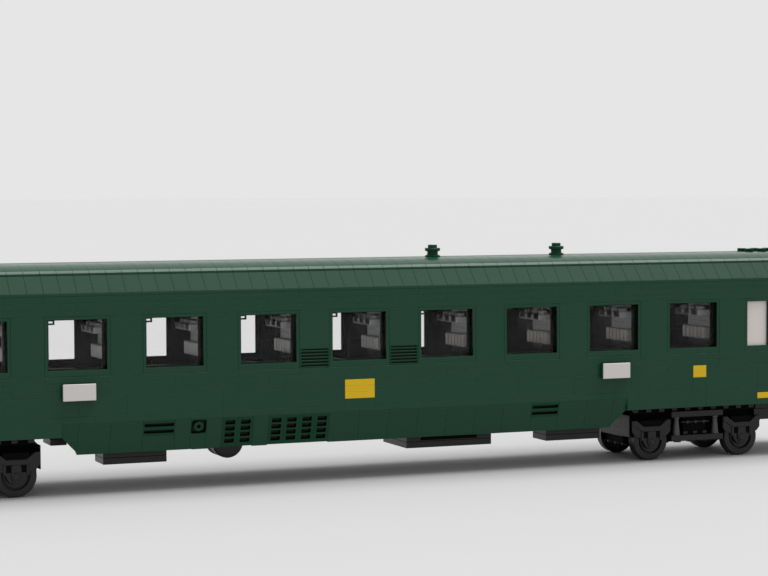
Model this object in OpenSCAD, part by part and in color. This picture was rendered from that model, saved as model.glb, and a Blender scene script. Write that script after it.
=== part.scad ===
// Brick-built toy passenger coach on two four-wheel bogies, with hinged entrance doors.
// X runs along the coach, Y across it, Z up from the floor that the wheels stand on.

/* [Building grid] */
// Pitch of the studs, and the width of one wall
stud = 8; // [7:0.5:10]
// Height of one plate, a third of a brick
plate = 3.2; // [2.8:0.1:4]
// Radius of a stud
stud_r = 2.4; // [2:0.1:2.8]
// Height of a stud
stud_h = 1.7; // [1.4:0.1:2]
// Gap left between pieces on different bodies
run_gap = 0.3; // [0.2:0.05:0.5]
// Radial clearance of a pin in its bore
pin_fit = 0.06; // [0.03:0.01:0.1]

/* [Body] */
// Distance from one passenger window to the next
window_pitch = 48; // [47:1:60]
// Passenger windows on each side
window_count = 9; // [9:2:13]
// Length of the lavatory and entrance section at each end
end_len = 72; // [72:1:90]
// Width over the side walls
body_w = 64; // [56:1:80]
// Height of the walls' lower edge above the floor the wheels stand on
ride_h = 28.8; // [28:0.2:34]
// Height of the wall below the windows
below_window = 28.8; // [24:0.2:34]
// Height of the wall above the windows
above_window = 9.6; // [6.4:0.2:14]

/* [Windows] */
// Width over a passenger window's frame
window_w = 32; // [24:1:38]
// Height over a passenger window's frame
window_h = 28.8; // [24:0.2:34]
// Width of the frame's upright bars and of its head
frame_bar = 1.6; // [1.2:0.1:2.4]
// Height of the frame's sill
sill_h = 3.2; // [2:0.1:4]
// How far the frame goes back into the wall
frame_deep = 6; // [4:0.5:8]
// Thickness of a clear pane
pane_t = 1; // [0.8:0.1:1.6]
// How far the clear pane stands back from the wall's face
pane_back = 3.4; // [2:0.1:4]
// Width over the lavatory window's frame
lav_w = 16; // [12:1:20]
// Distance from the end section's start to the lavatory window's middle
lav_at = 16; // [14:1:18]
// How far the frosted pane stands back from the wall's face
lav_back = 1.5; // [1:0.1:3]
// Height of a ribbed grille brick beside a window
grille_h = 9.6; // [6.4:0.2:12]
// Depth of a rib on a grille brick
rib_deep = 0.8; // [0.4:0.1:1.2]
// Ribs on a grille brick
rib_count = 6; // [4:1:8]

/* [Roof] */
// Height of the 45 degree slope bricks
slope_h = 9.6; // [8:0.2:12]
// Height of the slope bricks' lower lip
slope_lip = 1.5; // [1:0.1:2]
// Width of the sloped part of a slope brick
slope_run = 8; // [6:0.5:10]
// Height of the curved slopes' upright outer edge
curve_lip = 1.6; // [1:0.1:2.4]
// Width of one curved slope
curve_run = 16; // [12:1:18]
// Rise of a curved slope above its outer edge
curve_rise = 3.6; // [2.4:0.1:5]
// Thickness of the plate that closes the roof
deck_t = 3.2; // [2:0.1:4]
// Studs in each exposed row at the ends of the roof
ridge_studs = 6; // [2:1:8]
// Distance of the first roof vent from the middle
vent_a_x = 52; // [40:1:60]
// Distance of the second roof vent from the middle
vent_b_x = 124; // [100:1:140]
// Distance of the vents from the middle line
vent_y = 4; // [0:0.5:8]
// Radius of a vent's flange
vent_r = 4; // [3:0.1:4.8]

/* [Skirt] */
// Distance from a bogie pivot to the near end of the skirt
skirt_gap = 48; // [47:0.5:56]
// Height of the skirt panels along their slope
skirt_h = 16; // [12:0.5:16]
// Thickness of the skirt panels
skirt_t = 3.2; // [2:0.1:4]
// Inward lean of the skirt panels, in degrees
skirt_lean = 15.5; // [8:0.5:20]
// Height of the skirt's hinge line above the walls' lower edge
skirt_up = 6.4; // [3.2:0.2:8]
// Distance from the middle to a tile with long slots
slot_x = 104; // [98:1:106]
// Height of a long slot
slot_h = 1.6; // [1:0.1:2]
// Distance from the middle to the tile with a round socket
socket_x = 84; // [83:0.5:86]
// Distance from the middle to the narrow block of short slots
vents_2_x = 64; // [62:1:66]
// Distance from the middle to the wide block of short slots
vents_4_x = 32; // [28:1:34]
// Width of a short slot
short_w = 5.4; // [4:0.1:6.4]
// Height of a short slot
short_h = 2.4; // [1.6:0.1:2.6]
// Depth of the pierced tiles
tile_deep = 2; // [1.4:0.1:2.4]

/* [Boards and plates] */
// Width of a destination board
board_w = 16; // [12:1:20]
// Height of a destination board
board_h = 8; // [6:0.5:10]
// Thickness of a destination board with its white face
board_t = 3.2; // [2:0.1:4]
// Thickness of the white face alone
board_face_t = 0.8; // [0.5:0.1:1.2]
// Height of the boards above the walls' lower edge
board_up = 17.6; // [12:0.2:20]
// Height of the yellow plates' lower edge above the walls' lower edge
yellow_up = 12.8; // [9.6:0.2:14]
// How far the yellow plates go into the wall
yellow_deep = 2; // [1:0.1:4]

/* [Doors] */
// Width of an entrance door leaf
door_w = 27.4; // [22:0.1:30]
// Distance from the coach's end to the doorway
door_off = 8; // [8:0.5:10]
// Thickness of a door leaf
door_t = 2.4; // [2:0.1:3]
// Radius of a door's hinge pins
door_pin_r = 0.8; // [0.6:0.1:1]
// Length of a door's hinge pins
door_pin_len = 1.4; // [1:0.1:1.5]
// Thickness of the doorway's frame
door_frame_t = 2; // [1.6:0.1:2.4]
// Width of the pane in a door
door_pane_w = 16; // [10:1:18]
// Height of the pane in a door
door_pane_h = 20; // [14:1:24]

/* [Bogies] */
// Distance from the coach's end to the bogie's pivot
pivot_in = 88; // [86:1:90]
// Distance between a bogie's axles
wheelbase = 56; // [52:1:60]
// Radius of a wheel over its flange
wheel_r = 10.4; // [10.2:0.1:10.8]
// Radius of a wheel's tread
tread_r = 10.1; // [9:0.1:10.1]
// Width of a wheel
wheel_w = 5.6; // [4.4:0.1:6.4]
// Distance from the middle line to a wheel's outer face
wheel_out = 21.2; // [20:0.1:21.2]
// Radius of an axle
axle_r = 1.5; // [1.2:0.1:2]
// Distance from the middle line to a side frame's outer face
side_out = 23; // [23:0.1:24]
// Thickness of an axle box cover
cover_t = 1.5; // [1.2:0.1:1.5]
// Half width of an axle box cover
cover_half = 12; // [11:0.5:12]
// Radius of the round foot of an axle box cover
cover_foot_r = 5; // [4:0.1:6]
// Thickness of the bogie's top plate
top_t = 3.2; // [2.4:0.1:3.6]
// Half width of the bogie's axle carrier
carrier_half = 12; // [8:0.5:14]
// Radius of the bogie's pivot pin
pivot_r = 2.4; // [2:0.1:3.2]
// Length of the bogie's pivot pin below the floor
pivot_len = 8; // [5:0.5:12]
// Distance of a damper from the bogie's pivot along the coach
damper_x = 12; // [9:0.5:13]
// Radius of a damper's foot
damper_r = 2.1; // [1.6:0.1:2.4]

/* [Couplings] */
// Distance from the bogie's pivot to the buffer beam's inner face
beam_at = 80; // [78:1:84]
// Thickness of the buffer beam
beam_t = 7.4; // [6:0.1:8]
// Width of the buffer beam
beam_w = 48; // [44:1:56]
// Height of the buffer beam
beam_h = 9.2; // [8:0.1:9.6]
// Distance between the two buffers of one beam
buffer_gap = 40; // [32:1:46]
// Radius of a buffer's head
buffer_r = 4.2; // [3:0.1:4.6]
// Radius of the coupling magnet
magnet_r = 4; // [3:0.1:4.4]
// Length of the coupling magnet
magnet_len = 5; // [4:0.5:8]
// Half width of the arm that carries the buffer beam
arm_half = 16; // [12:0.5:20]
// Length of a buffer over its head
buffer_len = 8; // [6:0.1:10]
// Thickness of a buffer's head
buffer_head_t = 2.4; // [1.6:0.1:3]
// Half width of the bellows around the way through at each end
gangway_half = 12; // [10:0.5:16]
// Length of the bellows
gangway_deep = 6; // [4:0.5:7]

/* [Underframe] */
// Height of the equipment boxes' underside above the floor the wheels stand on
box_bottom = 12.8; // [11:0.2:16]
// Length of the left equipment box
left_box_len = 32; // [24:1:40]
// Distance from the middle to the left equipment box's middle
left_box_x = 112; // [100:1:116]
// Length of the middle equipment box
middle_box_len = 48; // [32:1:56]
// Distance from the middle to the middle equipment box's middle
middle_box_x = 56; // [40:1:60]
// Length of the right equipment box
right_box_len = 32; // [16:1:36]
// Distance from the middle to the right equipment box's middle
right_box_x = 128; // [120:1:130]
// Half width of the equipment boxes
box_half_w = 16; // [10:0.5:18]
// Distance from the middle to the air tank
tank_x = 64; // [60:1:68]
// Length of the air tank across the coach
tank_len = 16; // [12:0.5:18]

/* [Interior] */
// Thickness of a compartment partition
partition_t = 8; // [6:0.5:10]
// Distance from the middle line to the partitions' corridor edge
corridor_edge = 8; // [4:0.5:12]
// Width of the black post between a partition's grey panel and the side wall
post_w = 8; // [4:0.5:10]
// Depth of a bench's base in front of its partition
bench_deep = 12; // [9:0.5:13]
// Height of a bench's base above the floor
bench_h = 25.6; // [20:0.2:28]
// Height of a bench's back cushion above the floor
back_up = 32; // [29:0.2:34]
// Height of a bench's back cushion
back_h = 6.4; // [5:0.2:8]
// Thickness of a bench's back cushion
back_t = 3.6; // [1.6:0.1:4]
// Height of a partition's grey panel above the back cushion's top
panel_up = 9.6; // [8:0.2:12]
// Depth of a luggage rack
rack_deep = 8; // [6:0.5:9]

/* [Hidden] */

$fn = 48;
eps = 0.01;

half_len = window_pitch * window_count / 2 + end_len;
half_w = body_w / 2;
wall_t = stud;
inner_w = half_w - wall_t;
sill_z = ride_h + below_window;
head_z = sill_z + window_h;
wall_top = head_z + above_window;
wall_h = wall_top - ride_h;
floor_top = ride_h + plate;
first_window = -(window_count - 1) / 2;
last_window = (window_count - 1) / 2;
slope_top = wall_top + slope_h;
curve_base = slope_top + curve_lip;
crown_z = curve_base + curve_rise;
curve_in = half_w - slope_run - curve_run;
deck_z = slope_top - deck_t;
pivot_x = half_len - pivot_in;
skirt_half = pivot_x - skirt_gap;
skirt_z = ride_h + skirt_up;
skirt_cut = skirt_h * cos(skirt_lean) - skirt_up;
skirt_room = skirt_up * tan(skirt_lean) + skirt_t / cos(skirt_lean);
lav_x = half_len - end_len + lav_at;
grille_w = window_pitch - window_w;
yellow_z = ride_h + yellow_up;
board_z = ride_h + board_up;
board_x = 3 * window_pitch;

frame_hole = door_w + 2 * run_gap;
doorway_w = frame_hole + 2 * door_frame_t;
doorway_x = half_len - door_off - doorway_w / 2;
door_bottom = floor_top + door_frame_t + run_gap;
door_top = head_z - door_frame_t - run_gap;
door_h = door_top - door_bottom;
hinge_round = door_t / 2;
hinge_y = half_w - hinge_round - run_gap;
hinge_x = doorway_x - door_w / 2 + hinge_round;

top_z = ride_h - 1.2;
top_under = top_z - top_t;
axle_dx = wheelbase / 2;
bogie_half = axle_dx + cover_half;
carrier_z = wheel_r + 3.6;
beam_z = top_z - beam_h;
coupling_z = beam_z + beam_h / 2;
coupling_x = beam_at + beam_t;

// Radius of the arc that rises by curve_rise over curve_run and ends level
curve_r = (curve_run * curve_run + curve_rise * curve_rise) / (2 * curve_rise);
curve_steps = 12;
curve_sweep = asin(curve_run / curve_r);
vent_neck_r = vent_r - 0.9;

// Middle and columns of each block of short slots
short_vents = [[-vents_2_x, 2], [-vents_4_x, 4]];
short_rows = 4;
short_first = 1.7;
short_pitch = 3.2;
tile_top = 0.7;
tile_half_h = skirt_h / 2;
tile_floor = 0.6;
slot_side = 0.3;

back_z = floor_top + back_up;
panel_top = back_z + back_h + panel_up;
tank_r = (ride_h - box_bottom) / 2;
pivot_boss_r = 10;
bracket_w = 8;
bracket_x = 78;
hanger_x = 148;
gangway_rise = 4;

// Like pieces on both sides of the coach
module both_sides() {
    children();
    mirror([0, 1, 0]) children();
}

// Like pieces at both ends of the coach
module both_ends() {
    children();
    mirror([1, 0, 0]) children();
}

// A box given by its two corners
module block(x0, x1, y0, y1, z0, z1) {
    translate([x0, y0, z0]) cube([x1 - x0, y1 - y0, z1 - z0]);
}

// A cylinder that lies across the coach, between two distances from the middle line
module cross_bar(r, x, z, y0, y1) {
    translate([x, y0, z]) rotate([-90, 0, 0]) cylinder(r = r, h = y1 - y0);
}

// An outline in X and Z, carried across the coach from y0 to y1
module side_outline(points, y0, y1) {
    translate([0, y1, 0]) rotate([90, 0, 0]) linear_extrude(y1 - y0) polygon(points);
}

// An outline in Y and Z, carried along the coach over its whole length
module long_outline(points, half) {
    translate([-half, 0, 0]) rotate([90, 0, 90]) linear_extrude(2 * half) polygon(points);
}

module floor_pan() {
    color("#1b1c1e") {
        block(-half_len + wall_t, half_len - wall_t, -inner_w, inner_w, ride_h, floor_top);
        for (s = [-1, 1]) translate([s * pivot_x, 0, 0]) {
            translate([0, 0, top_z + run_gap])
                cylinder(r = pivot_boss_r, h = ride_h - top_z - run_gap + eps);
            translate([0, 0, ride_h - pivot_len]) cylinder(r = pivot_r, h = pivot_len + eps);
        }
    }
}

// One side wall on the near side, with its window and door openings cut through
module side_wall() {
    color("#223e30")
    difference() {
        block(-half_len, half_len, -half_w, -inner_w, ride_h, wall_top);
        for (i = [first_window:last_window])
            block(i * window_pitch - window_w / 2, i * window_pitch + window_w / 2,
                  -half_w - 1, -inner_w + 1, sill_z, head_z);
        both_ends() {
            block(lav_x - lav_w / 2, lav_x + lav_w / 2,
                  -half_w - 1, -inner_w + 1, sill_z, head_z);
            block(doorway_x - doorway_w / 2, doorway_x + doorway_w / 2,
                  -half_w - 1, -inner_w + 1, floor_top, head_z);
        }
        grille_places() grille_pocket();
        yellow_boxes(1);
        block(-skirt_half, skirt_half, -half_w - 1, -half_w + skirt_room,
              ride_h - 1, skirt_z);
    }
}

module wall_near() {
    side_wall();
}

module wall_far() {
    mirror([0, 1, 0]) side_wall();
}

// One end wall on the right, between the side walls, open at the gangway
module end_wall() {
    color("#223e30")
    difference() {
        block(half_len - wall_t, half_len, -inner_w, inner_w, ride_h, deck_z);
        block(half_len - wall_t - 1, half_len + 1, -stud, stud, floor_top, head_z);
    }
}

module end_wall_left() {
    mirror([1, 0, 0]) end_wall();
}

module end_wall_right() {
    end_wall();
}

// A window frame centred on x, on the near side
module frame_ring(x, w, deep) {
    difference() {
        block(x - w / 2, x + w / 2, -half_w, -half_w + deep, sill_z, head_z);
        block(x - w / 2 + frame_bar, x + w / 2 - frame_bar,
              -half_w - 1, -inner_w + 1, sill_z + sill_h, head_z - frame_bar);
    }
}

module window_frames() {
    color("#21402f")
    both_sides() {
        for (i = [first_window:last_window])
            frame_ring(i * window_pitch, window_w, frame_deep);
        both_ends() frame_ring(lav_x, lav_w, frame_deep);
    }
}

module window_panes() {
    color([0.85, 0.92, 0.9, 0.25])
    both_sides() for (i = [first_window:last_window])
        block(i * window_pitch - window_w / 2 + frame_bar,
              i * window_pitch + window_w / 2 - frame_bar,
              -half_w + pane_back, -half_w + pane_back + pane_t,
              sill_z + sill_h, head_z - frame_bar);
}

module lavatory_windows() {
    color("#c9cdca")
    both_sides() both_ends()
        block(lav_x - lav_w / 2 + frame_bar, lav_x + lav_w / 2 - frame_bar,
              -half_w + lav_back, -half_w + lav_back + pane_t,
              sill_z + sill_h, head_z - frame_bar);
}

// Places of the ribbed grille bricks: beside the middle window
module grille_places() {
    for (x = [-window_pitch / 2, window_pitch / 2]) translate([x, 0, 0]) children();
}

module grille_pocket() {
    block(-grille_w / 2, grille_w / 2, -half_w - 1, -half_w + 4, sill_z, sill_z + grille_h);
}

module pillar_grilles() {
    rib_pitch = grille_h / rib_count;
    color("#1d3529")
    both_sides() grille_places() difference() {
        block(-grille_w / 2, grille_w / 2, -half_w, -half_w + 4, sill_z, sill_z + grille_h);
        for (i = [0:rib_count - 1])
            block(-grille_w / 2 + 0.8, grille_w / 2 - 0.8, -half_w - 1, -half_w + rib_deep,
                  sill_z + i * rib_pitch + rib_pitch / 2, sill_z + (i + 0.9) * rib_pitch);
    }
}

// The 45 degree slope bricks along the near edge of the roof
module roof_slope() {
    color("#223e30")
    long_outline([[-half_w, wall_top], [-half_w, wall_top + slope_lip],
                  [-half_w + slope_run, slope_top], [-inner_w + stud, slope_top],
                  [-inner_w + stud, deck_z], [-inner_w, deck_z], [-inner_w, wall_top]],
                 half_len);
}

module roof_slope_near() {
    roof_slope();
}

module roof_slope_far() {
    mirror([0, 1, 0]) roof_slope();
}

module roof_deck() {
    color("#1e3529")
    block(-half_len, half_len, -inner_w + stud, inner_w - stud, deck_z, slope_top);
}

// The curved slopes on the near side of the roof
module roof_curve() {
    color("#223e30")
    long_outline(concat(
        [[-curve_in, slope_top], [-curve_in - curve_run, slope_top]],
        [for (i = [0:curve_steps]) let (a = curve_sweep * (1 - i / curve_steps))
            [-curve_in - curve_r * sin(a), crown_z - curve_r + curve_r * cos(a)]]),
        half_len);
}

module roof_curve_near() {
    roof_curve();
}

module roof_curve_far() {
    mirror([0, 1, 0]) roof_curve();
}

// The flat middle of the roof, with two exposed rows of studs at each end
module roof_ridge() {
    stud_start = half_len - ridge_studs * stud;
    color("#223e30") {
        block(-half_len, half_len, -curve_in, curve_in, slope_top, crown_z);
        both_ends() both_sides() for (i = [0:ridge_studs - 1])
            translate([stud_start + (i + 0.5) * stud, -stud / 2, crown_z - eps])
                cylinder(r = stud_r, h = stud_h + eps);
    }
}

module roof_vents() {
    color("#20392d")
    for (x = [vent_a_x, vent_b_x]) translate([x, -vent_y, crown_z])
        rotate_extrude()
            polygon([[0, 0], [vent_r, 0], [vent_r, 0.8], [vent_neck_r, 1.6],
                     [vent_neck_r, 3], [vent_r, 3.4], [vent_r, 4.7], [stud_r, 4.7],
                     [stud_r, 4.7 + stud_h], [0, 4.7 + stud_h]]);
}

// Skirt coordinates: origin on the hinge line at the wall's face, Z down the panel
module on_skirt() {
    translate([0, -half_w, skirt_z]) rotate([skirt_lean, 0, 0]) mirror([0, 0, 1]) children();
}

// The near skirt, cut back at 45 degrees at both ends below the wall
module skirt() {
    color("#223e30")
    difference() {
        on_skirt() block(-skirt_half, skirt_half, 0, skirt_t, 0, skirt_h);
        both_ends()
            side_outline([[skirt_half, ride_h], [skirt_half + 1, ride_h],
                          [skirt_half + 1, ride_h - skirt_cut - 1],
                          [skirt_half - skirt_cut - 1, ride_h - skirt_cut - 1]],
                         -half_w - 5, 0);
        on_skirt() skirt_tile_blocks(1);
        block(-skirt_half - 1, skirt_half + 1, -half_w - 1, -inner_w + 1,
              skirt_z, skirt_z + skirt_t);
    }
}

// Blocks of the pierced tiles; over is how far they reach out of the skirt's face
module skirt_tile_blocks(over) {
    for (x = [-slot_x, slot_x])
        block(x - stud, x + stud, -over, tile_deep, tile_top, tile_half_h);
    for (v = short_vents)
        block(v[0] - v[1] * stud / 2, v[0] + v[1] * stud / 2, -over, tile_deep,
              tile_top, short_first + short_rows * short_pitch);
    block(-socket_x - stud / 2, -socket_x + stud / 2, -over, tile_deep,
          tile_top, tile_half_h);
}

module skirt_near() {
    skirt();
}

module skirt_far() {
    mirror([0, 1, 0]) skirt();
}

// The pierced tiles that fill the skirt's pockets: long slots, a socket and short slots
module skirt_tiles() {
    on_skirt() difference() {
        skirt_tile_blocks(0);
        for (x = [-slot_x, slot_x]) for (z = [short_first, short_first + 2 * slot_h + slot_side])
            block(x - stud + slot_side, x + stud - slot_side, -1, tile_deep - tile_floor,
                  z, z + slot_h);
        for (v = short_vents) for (i = [0:v[1] - 1]) for (k = [0:short_rows - 1])
            translate([v[0] + (i + 0.5 - v[1] / 2) * stud, 0, short_first + k * short_pitch])
                block(-short_w / 2, short_w / 2, -1, tile_deep - tile_floor, 0, short_h);
        translate([-socket_x, tile_deep - tile_floor, tile_half_h / 2]) rotate([90, 0, 0])
            cylinder(r = stud_r - 0.8, h = 3);
    }
}

module skirt_grilles() {
    color("#1a2f25")
    both_sides() skirt_tiles();
}

module destination_boards() {
    color("#223e30")
    both_sides() for (s = [-1, 1])
        block(s * board_x - board_w / 2, s * board_x + board_w / 2,
              -half_w - board_t + board_face_t, -half_w, board_z, board_z + board_h);
}

module board_faces() {
    color("#d8d9d6")
    both_sides() for (s = [-1, 1])
        block(s * board_x - board_w / 2, s * board_x + board_w / 2,
              -half_w - board_t, -half_w - board_t + board_face_t,
              board_z, board_z + board_h);
}

// Yellow plates in one side wall; over is how far they reach out of its face
module yellow_boxes(over) {
    y0 = -half_w - over;
    y1 = -half_w + yellow_deep;
    last_x = last_window * window_pitch;
    block(-stud, stud, y0, y1, yellow_z, yellow_z + 3 * plate);
    both_ends() {
        block(last_x, last_x + stud, y0, y1, yellow_z + plate, yellow_z + 3 * plate);
        block(lav_x, doorway_x - doorway_w / 2, y0, y1,
              yellow_z - 3 * plate, yellow_z - 2 * plate);
    }
}

module yellow_plates() {
    color("#e0b92c")
    both_sides() yellow_boxes(0);
}

// A partition's middle, between each two windows and beside each entrance
module partition_places() {
    for (i = [first_window - 0.5:last_window + 0.5])
        translate([i * window_pitch, 0, 0]) children();
    both_ends() translate([lav_x + partition_t / 2 + 0.5, 0, 0]) children();
}

module partitions() {
    color("#1c1d1f")
    partition_places() difference() {
        block(-partition_t / 2, partition_t / 2, -inner_w, corridor_edge,
              floor_top, wall_top);
        panel(1);
    }
}

// A partition's grey panel; over is how far it reaches past the partition's faces
module panel(over) {
    block(-partition_t / 2 - over, partition_t / 2 + over, -inner_w + post_w,
          corridor_edge + over, back_z, panel_top);
}

module partition_panels() {
    color("#4b4e52")
    partition_places() panel(0);
}

// Children are drawn for a bench against a partition's face at the origin, facing +X
module bench_places() {
    for (i = [first_window:last_window]) for (s = [-1, 1])
        translate([i * window_pitch, 0, 0]) mirror([s > 0 ? 1 : 0, 0, 0])
            translate([-window_pitch / 2 + partition_t / 2, 0, 0]) children();
}

module bench_bases() {
    color("#17181a")
    bench_places() block(0, bench_deep, -inner_w, corridor_edge,
                         floor_top, floor_top + bench_h);
}

module bench_backs() {
    color("#85847c")
    bench_places() block(0, back_t, -inner_w + post_w, corridor_edge,
                         back_z, back_z + back_h);
}

module luggage_racks() {
    color("#4b4e52")
    bench_places() block(0, rack_deep, -inner_w + post_w, corridor_edge,
                         panel_top - plate, panel_top);
}

// Equipment boxes under the floor, the tank's bracket and the pipe hanger
module equipment_boxes() {
    color("#1f2022") {
        under_box(-left_box_x, left_box_len, -box_half_w, 0, box_bottom);
        under_box(middle_box_x, middle_box_len, -box_half_w, box_half_w, box_bottom);
        under_box(right_box_x, right_box_len, -box_half_w, 0, box_bottom);
        under_box(-hanger_x, bracket_w, -bracket_w, bracket_w, ride_h - 2 * plate);
        under_box(-bracket_x, bracket_w, -1.5 * bracket_w, -bracket_w / 2,
                  box_bottom + 1.5 * plate);
    }
}

// A box that hangs from the floor, given its middle and length along the coach
module under_box(x, len, y0, y1, z) {
    block(x - len / 2, x + len / 2, y0, y1, z, ride_h);
}

module air_tank() {
    color("#232427")
    cross_bar(tank_r, -tank_x, box_bottom + tank_r, -tank_len, 0);
}

// Frame of one doorway on the near side at the right-hand end, with its hinge bores
module door_frame() {
    difference() {
        block(doorway_x - doorway_w / 2, doorway_x + doorway_w / 2,
              -half_w, -half_w + frame_deep, floor_top, head_z);
        block(doorway_x - frame_hole / 2, doorway_x + frame_hole / 2,
              -half_w - 1, -inner_w + 1, floor_top + door_frame_t, head_z - door_frame_t);
        for (z = [door_bottom - door_pin_len - 0.2, door_top - run_gap])
            translate([hinge_x, -hinge_y, z])
                cylinder(r = door_pin_r + pin_fit, h = door_pin_len + run_gap + 0.2);
    }
}

module door_frames() {
    color("#21402f")
    both_sides() both_ends() door_frame();
}

// Place of a door's pane, over is how far it reaches past the pane's faces
module door_pane(over) {
    mid = doorway_x + 1;
    z1 = door_top - 6;
    block(mid - door_pane_w / 2, mid + door_pane_w / 2,
          -hinge_y - pane_t / 2 - over, -hinge_y + pane_t / 2 + over,
          z1 - door_pane_h, z1);
}

// The leaf at the near side's right-hand end, hinged on its edge towards the middle
module door_leaf() {
    color("#223e30") {
        difference() {
            union() {
                translate([hinge_x, -hinge_y, door_bottom]) cylinder(r = hinge_round, h = door_h);
                block(hinge_x, hinge_x - hinge_round + door_w,
                      -hinge_y - hinge_round, -hinge_y + hinge_round, door_bottom, door_top);
            }
            door_pane(door_t);
        }
        translate([hinge_x, -hinge_y, door_bottom - door_pin_len])
            cylinder(r = door_pin_r, h = door_pin_len + eps);
        translate([hinge_x, -hinge_y, door_top - eps])
            cylinder(r = door_pin_r, h = door_pin_len + eps);
    }
}

module door_near_right() {
    door_leaf();
}

module door_near_left() {
    mirror([1, 0, 0]) door_leaf();
}

module door_far_right() {
    mirror([0, 1, 0]) door_leaf();
}

module door_far_left() {
    mirror([1, 0, 0]) mirror([0, 1, 0]) door_leaf();
}

module leaf_pane() {
    color([0.85, 0.92, 0.9, 0.25]) door_pane(0);
}

module door_near_right_pane() {
    leaf_pane();
}

module door_near_left_pane() {
    mirror([1, 0, 0]) leaf_pane();
}

module door_far_right_pane() {
    mirror([0, 1, 0]) leaf_pane();
}

module door_far_left_pane() {
    mirror([1, 0, 0]) mirror([0, 1, 0]) leaf_pane();
}

// The bellows around the way through at each end
module gangways() {
    color("#1a1b1d")
    both_ends() difference() {
        block(half_len, half_len + gangway_deep, -gangway_half, gangway_half,
              floor_top - plate, head_z + gangway_rise);
        block(half_len - 1, half_len + gangway_deep + 1, -stud, stud, floor_top, head_z);
    }
}

module gangway_doors() {
    color("#2d2f31")
    both_ends() block(half_len - wall_t + 2, half_len - wall_t + 5, -stud, stud,
                      floor_top, head_z);
}

// The right-hand bogie's own places, with its outer end towards +X
module bogie_places(side) {
    mirror([side < 0 ? 1 : 0, 0, 0]) translate([pivot_x, 0, 0]) children();
}

// Top plate, axle carrier, centre column and the arm that carries the buffer beam
module bogie_frame() {
    cover_in = side_out - cover_t;
    color("#202123")
    difference() {
        union() {
            side_outline([[-bogie_half, top_under], [bogie_half, top_under],
                          [bogie_half, top_z], [-bogie_half + top_t, top_z]],
                         -cover_in, cover_in);
            block(-14, 14, -carrier_half, carrier_half, carrier_z - 1, top_under + eps);
            block(-bogie_half, bogie_half, -carrier_half, carrier_half,
                  carrier_z - 6.6, carrier_z);
            block(bogie_half - eps, beam_at, -arm_half, arm_half, beam_z, top_z);
        }
        translate([0, 0, ride_h - pivot_len - run_gap])
            cylinder(r = pivot_r + pin_fit, h = pivot_len + 1);
        for (s = [-1, 1])
            cross_bar(axle_r + pin_fit, s * axle_dx, wheel_r, -side_out, side_out);
    }
}

module bogie_left_frame() {
    bogie_places(-1) bogie_frame();
}

module bogie_right_frame() {
    bogie_places(1) bogie_frame();
}

// An axle box cover over the wheel at x, with a round foot and raised wings
module axle_cover(x) {
    z = wheel_r;
    translate([x, -side_out + cover_t, 0]) rotate([90, 0, 0]) linear_extrude(cover_t) {
        polygon([[-cover_half, z + 5], [-cover_half, z + 11.5], [-4, z + 7.8],
                 [4, z + 7.8], [cover_half, z + 11.5], [cover_half, z + 5],
                 [cover_half - 2, z + 3], [cover_foot_r, z + 0.6],
                 [-cover_foot_r, z + 0.6], [-cover_half + 2, z + 3]]);
        translate([0, z + 0.9]) circle(r = cover_foot_r);
    }
}

// Near side frame: two axle box covers, the beams between them and the spring block
module bogie_side() {
    beam_half = axle_dx - cover_half;
    cover_in = side_out - cover_t;
    for (s = [-1, 1]) {
        axle_cover(s * axle_dx);
        block(s * axle_dx - cover_half, s * axle_dx + cover_half,
              -cover_in - 1.2, -cover_in, wheel_r + 10.5, top_z);
    }
    block(-beam_half, beam_half, -side_out, -cover_in, top_z - 5, top_z - 1.8);
    block(-beam_half, beam_half, -side_out, -cover_in + 2, wheel_r - 0.7, wheel_r + 2.5);
    block(-6, 6, -cover_in, -cover_in + 2, wheel_r + 2.5 - eps, top_under);
}

module bogie_sides() {
    color("#242528") both_sides() bogie_side();
}

module bogie_left_sides() {
    bogie_places(-1) bogie_sides();
}

module bogie_right_sides() {
    bogie_places(1) bogie_sides();
}

// Tapered dampers between the beams of both side frames
module dampers() {
    color("#6d7074")
    both_sides() for (s = [-1, 1])
        translate([s * damper_x, -side_out + damper_r, wheel_r + 2.5])
            cylinder(r1 = damper_r, r2 = damper_r - 0.9, h = top_z - 5 - wheel_r - 2.5);
}

module bogie_left_dampers() {
    bogie_places(-1) dampers();
}

module bogie_right_dampers() {
    bogie_places(1) dampers();
}

// Buffer beam with its two buffers
module buffers() {
    color("#242528") {
        block(beam_at, coupling_x, -beam_w / 2, beam_w / 2, beam_z, top_z);
        both_sides() translate([coupling_x - eps, -buffer_gap / 2, coupling_z])
            rotate([0, 90, 0]) {
                cylinder(r = buffer_r - 2, h = buffer_len - buffer_head_t + 2 * eps);
                translate([0, 0, buffer_len - buffer_head_t + eps])
                    cylinder(r = buffer_r, h = buffer_head_t);
            }
    }
}

module bogie_left_buffers() {
    bogie_places(-1) buffers();
}

module bogie_right_buffers() {
    bogie_places(1) buffers();
}

module magnet() {
    color("#8b8f94")
    translate([coupling_x, 0, coupling_z]) rotate([0, 90, 0])
        cylinder(r = magnet_r, h = magnet_len);
}

module bogie_left_magnet() {
    bogie_places(-1) magnet();
}

module bogie_right_magnet() {
    bogie_places(1) magnet();
}

// Two dished wheels on one axle, at a distance from the bogie's pivot
module wheelset(x) {
    color("#2a2b2e") {
        cross_bar(axle_r, x, wheel_r, -wheel_out + 1, wheel_out - 1);
        both_sides() translate([x, -wheel_out + wheel_w, wheel_r]) rotate([90, 0, 0])
            rotate_extrude()
                polygon([[0, 0], [wheel_r, 0], [wheel_r, 1], [tread_r, 1.7],
                         [tread_r, wheel_w], [tread_r - 3, wheel_w],
                         [tread_r - 3, wheel_w - 2.4], [axle_r + 1.2, wheel_w - 2.4],
                         [axle_r + 1.2, wheel_w - 0.4], [0, wheel_w - 0.4]]);
    }
}

module wheelset_left_outer() {
    bogie_places(-1) wheelset(axle_dx);
}

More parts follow.
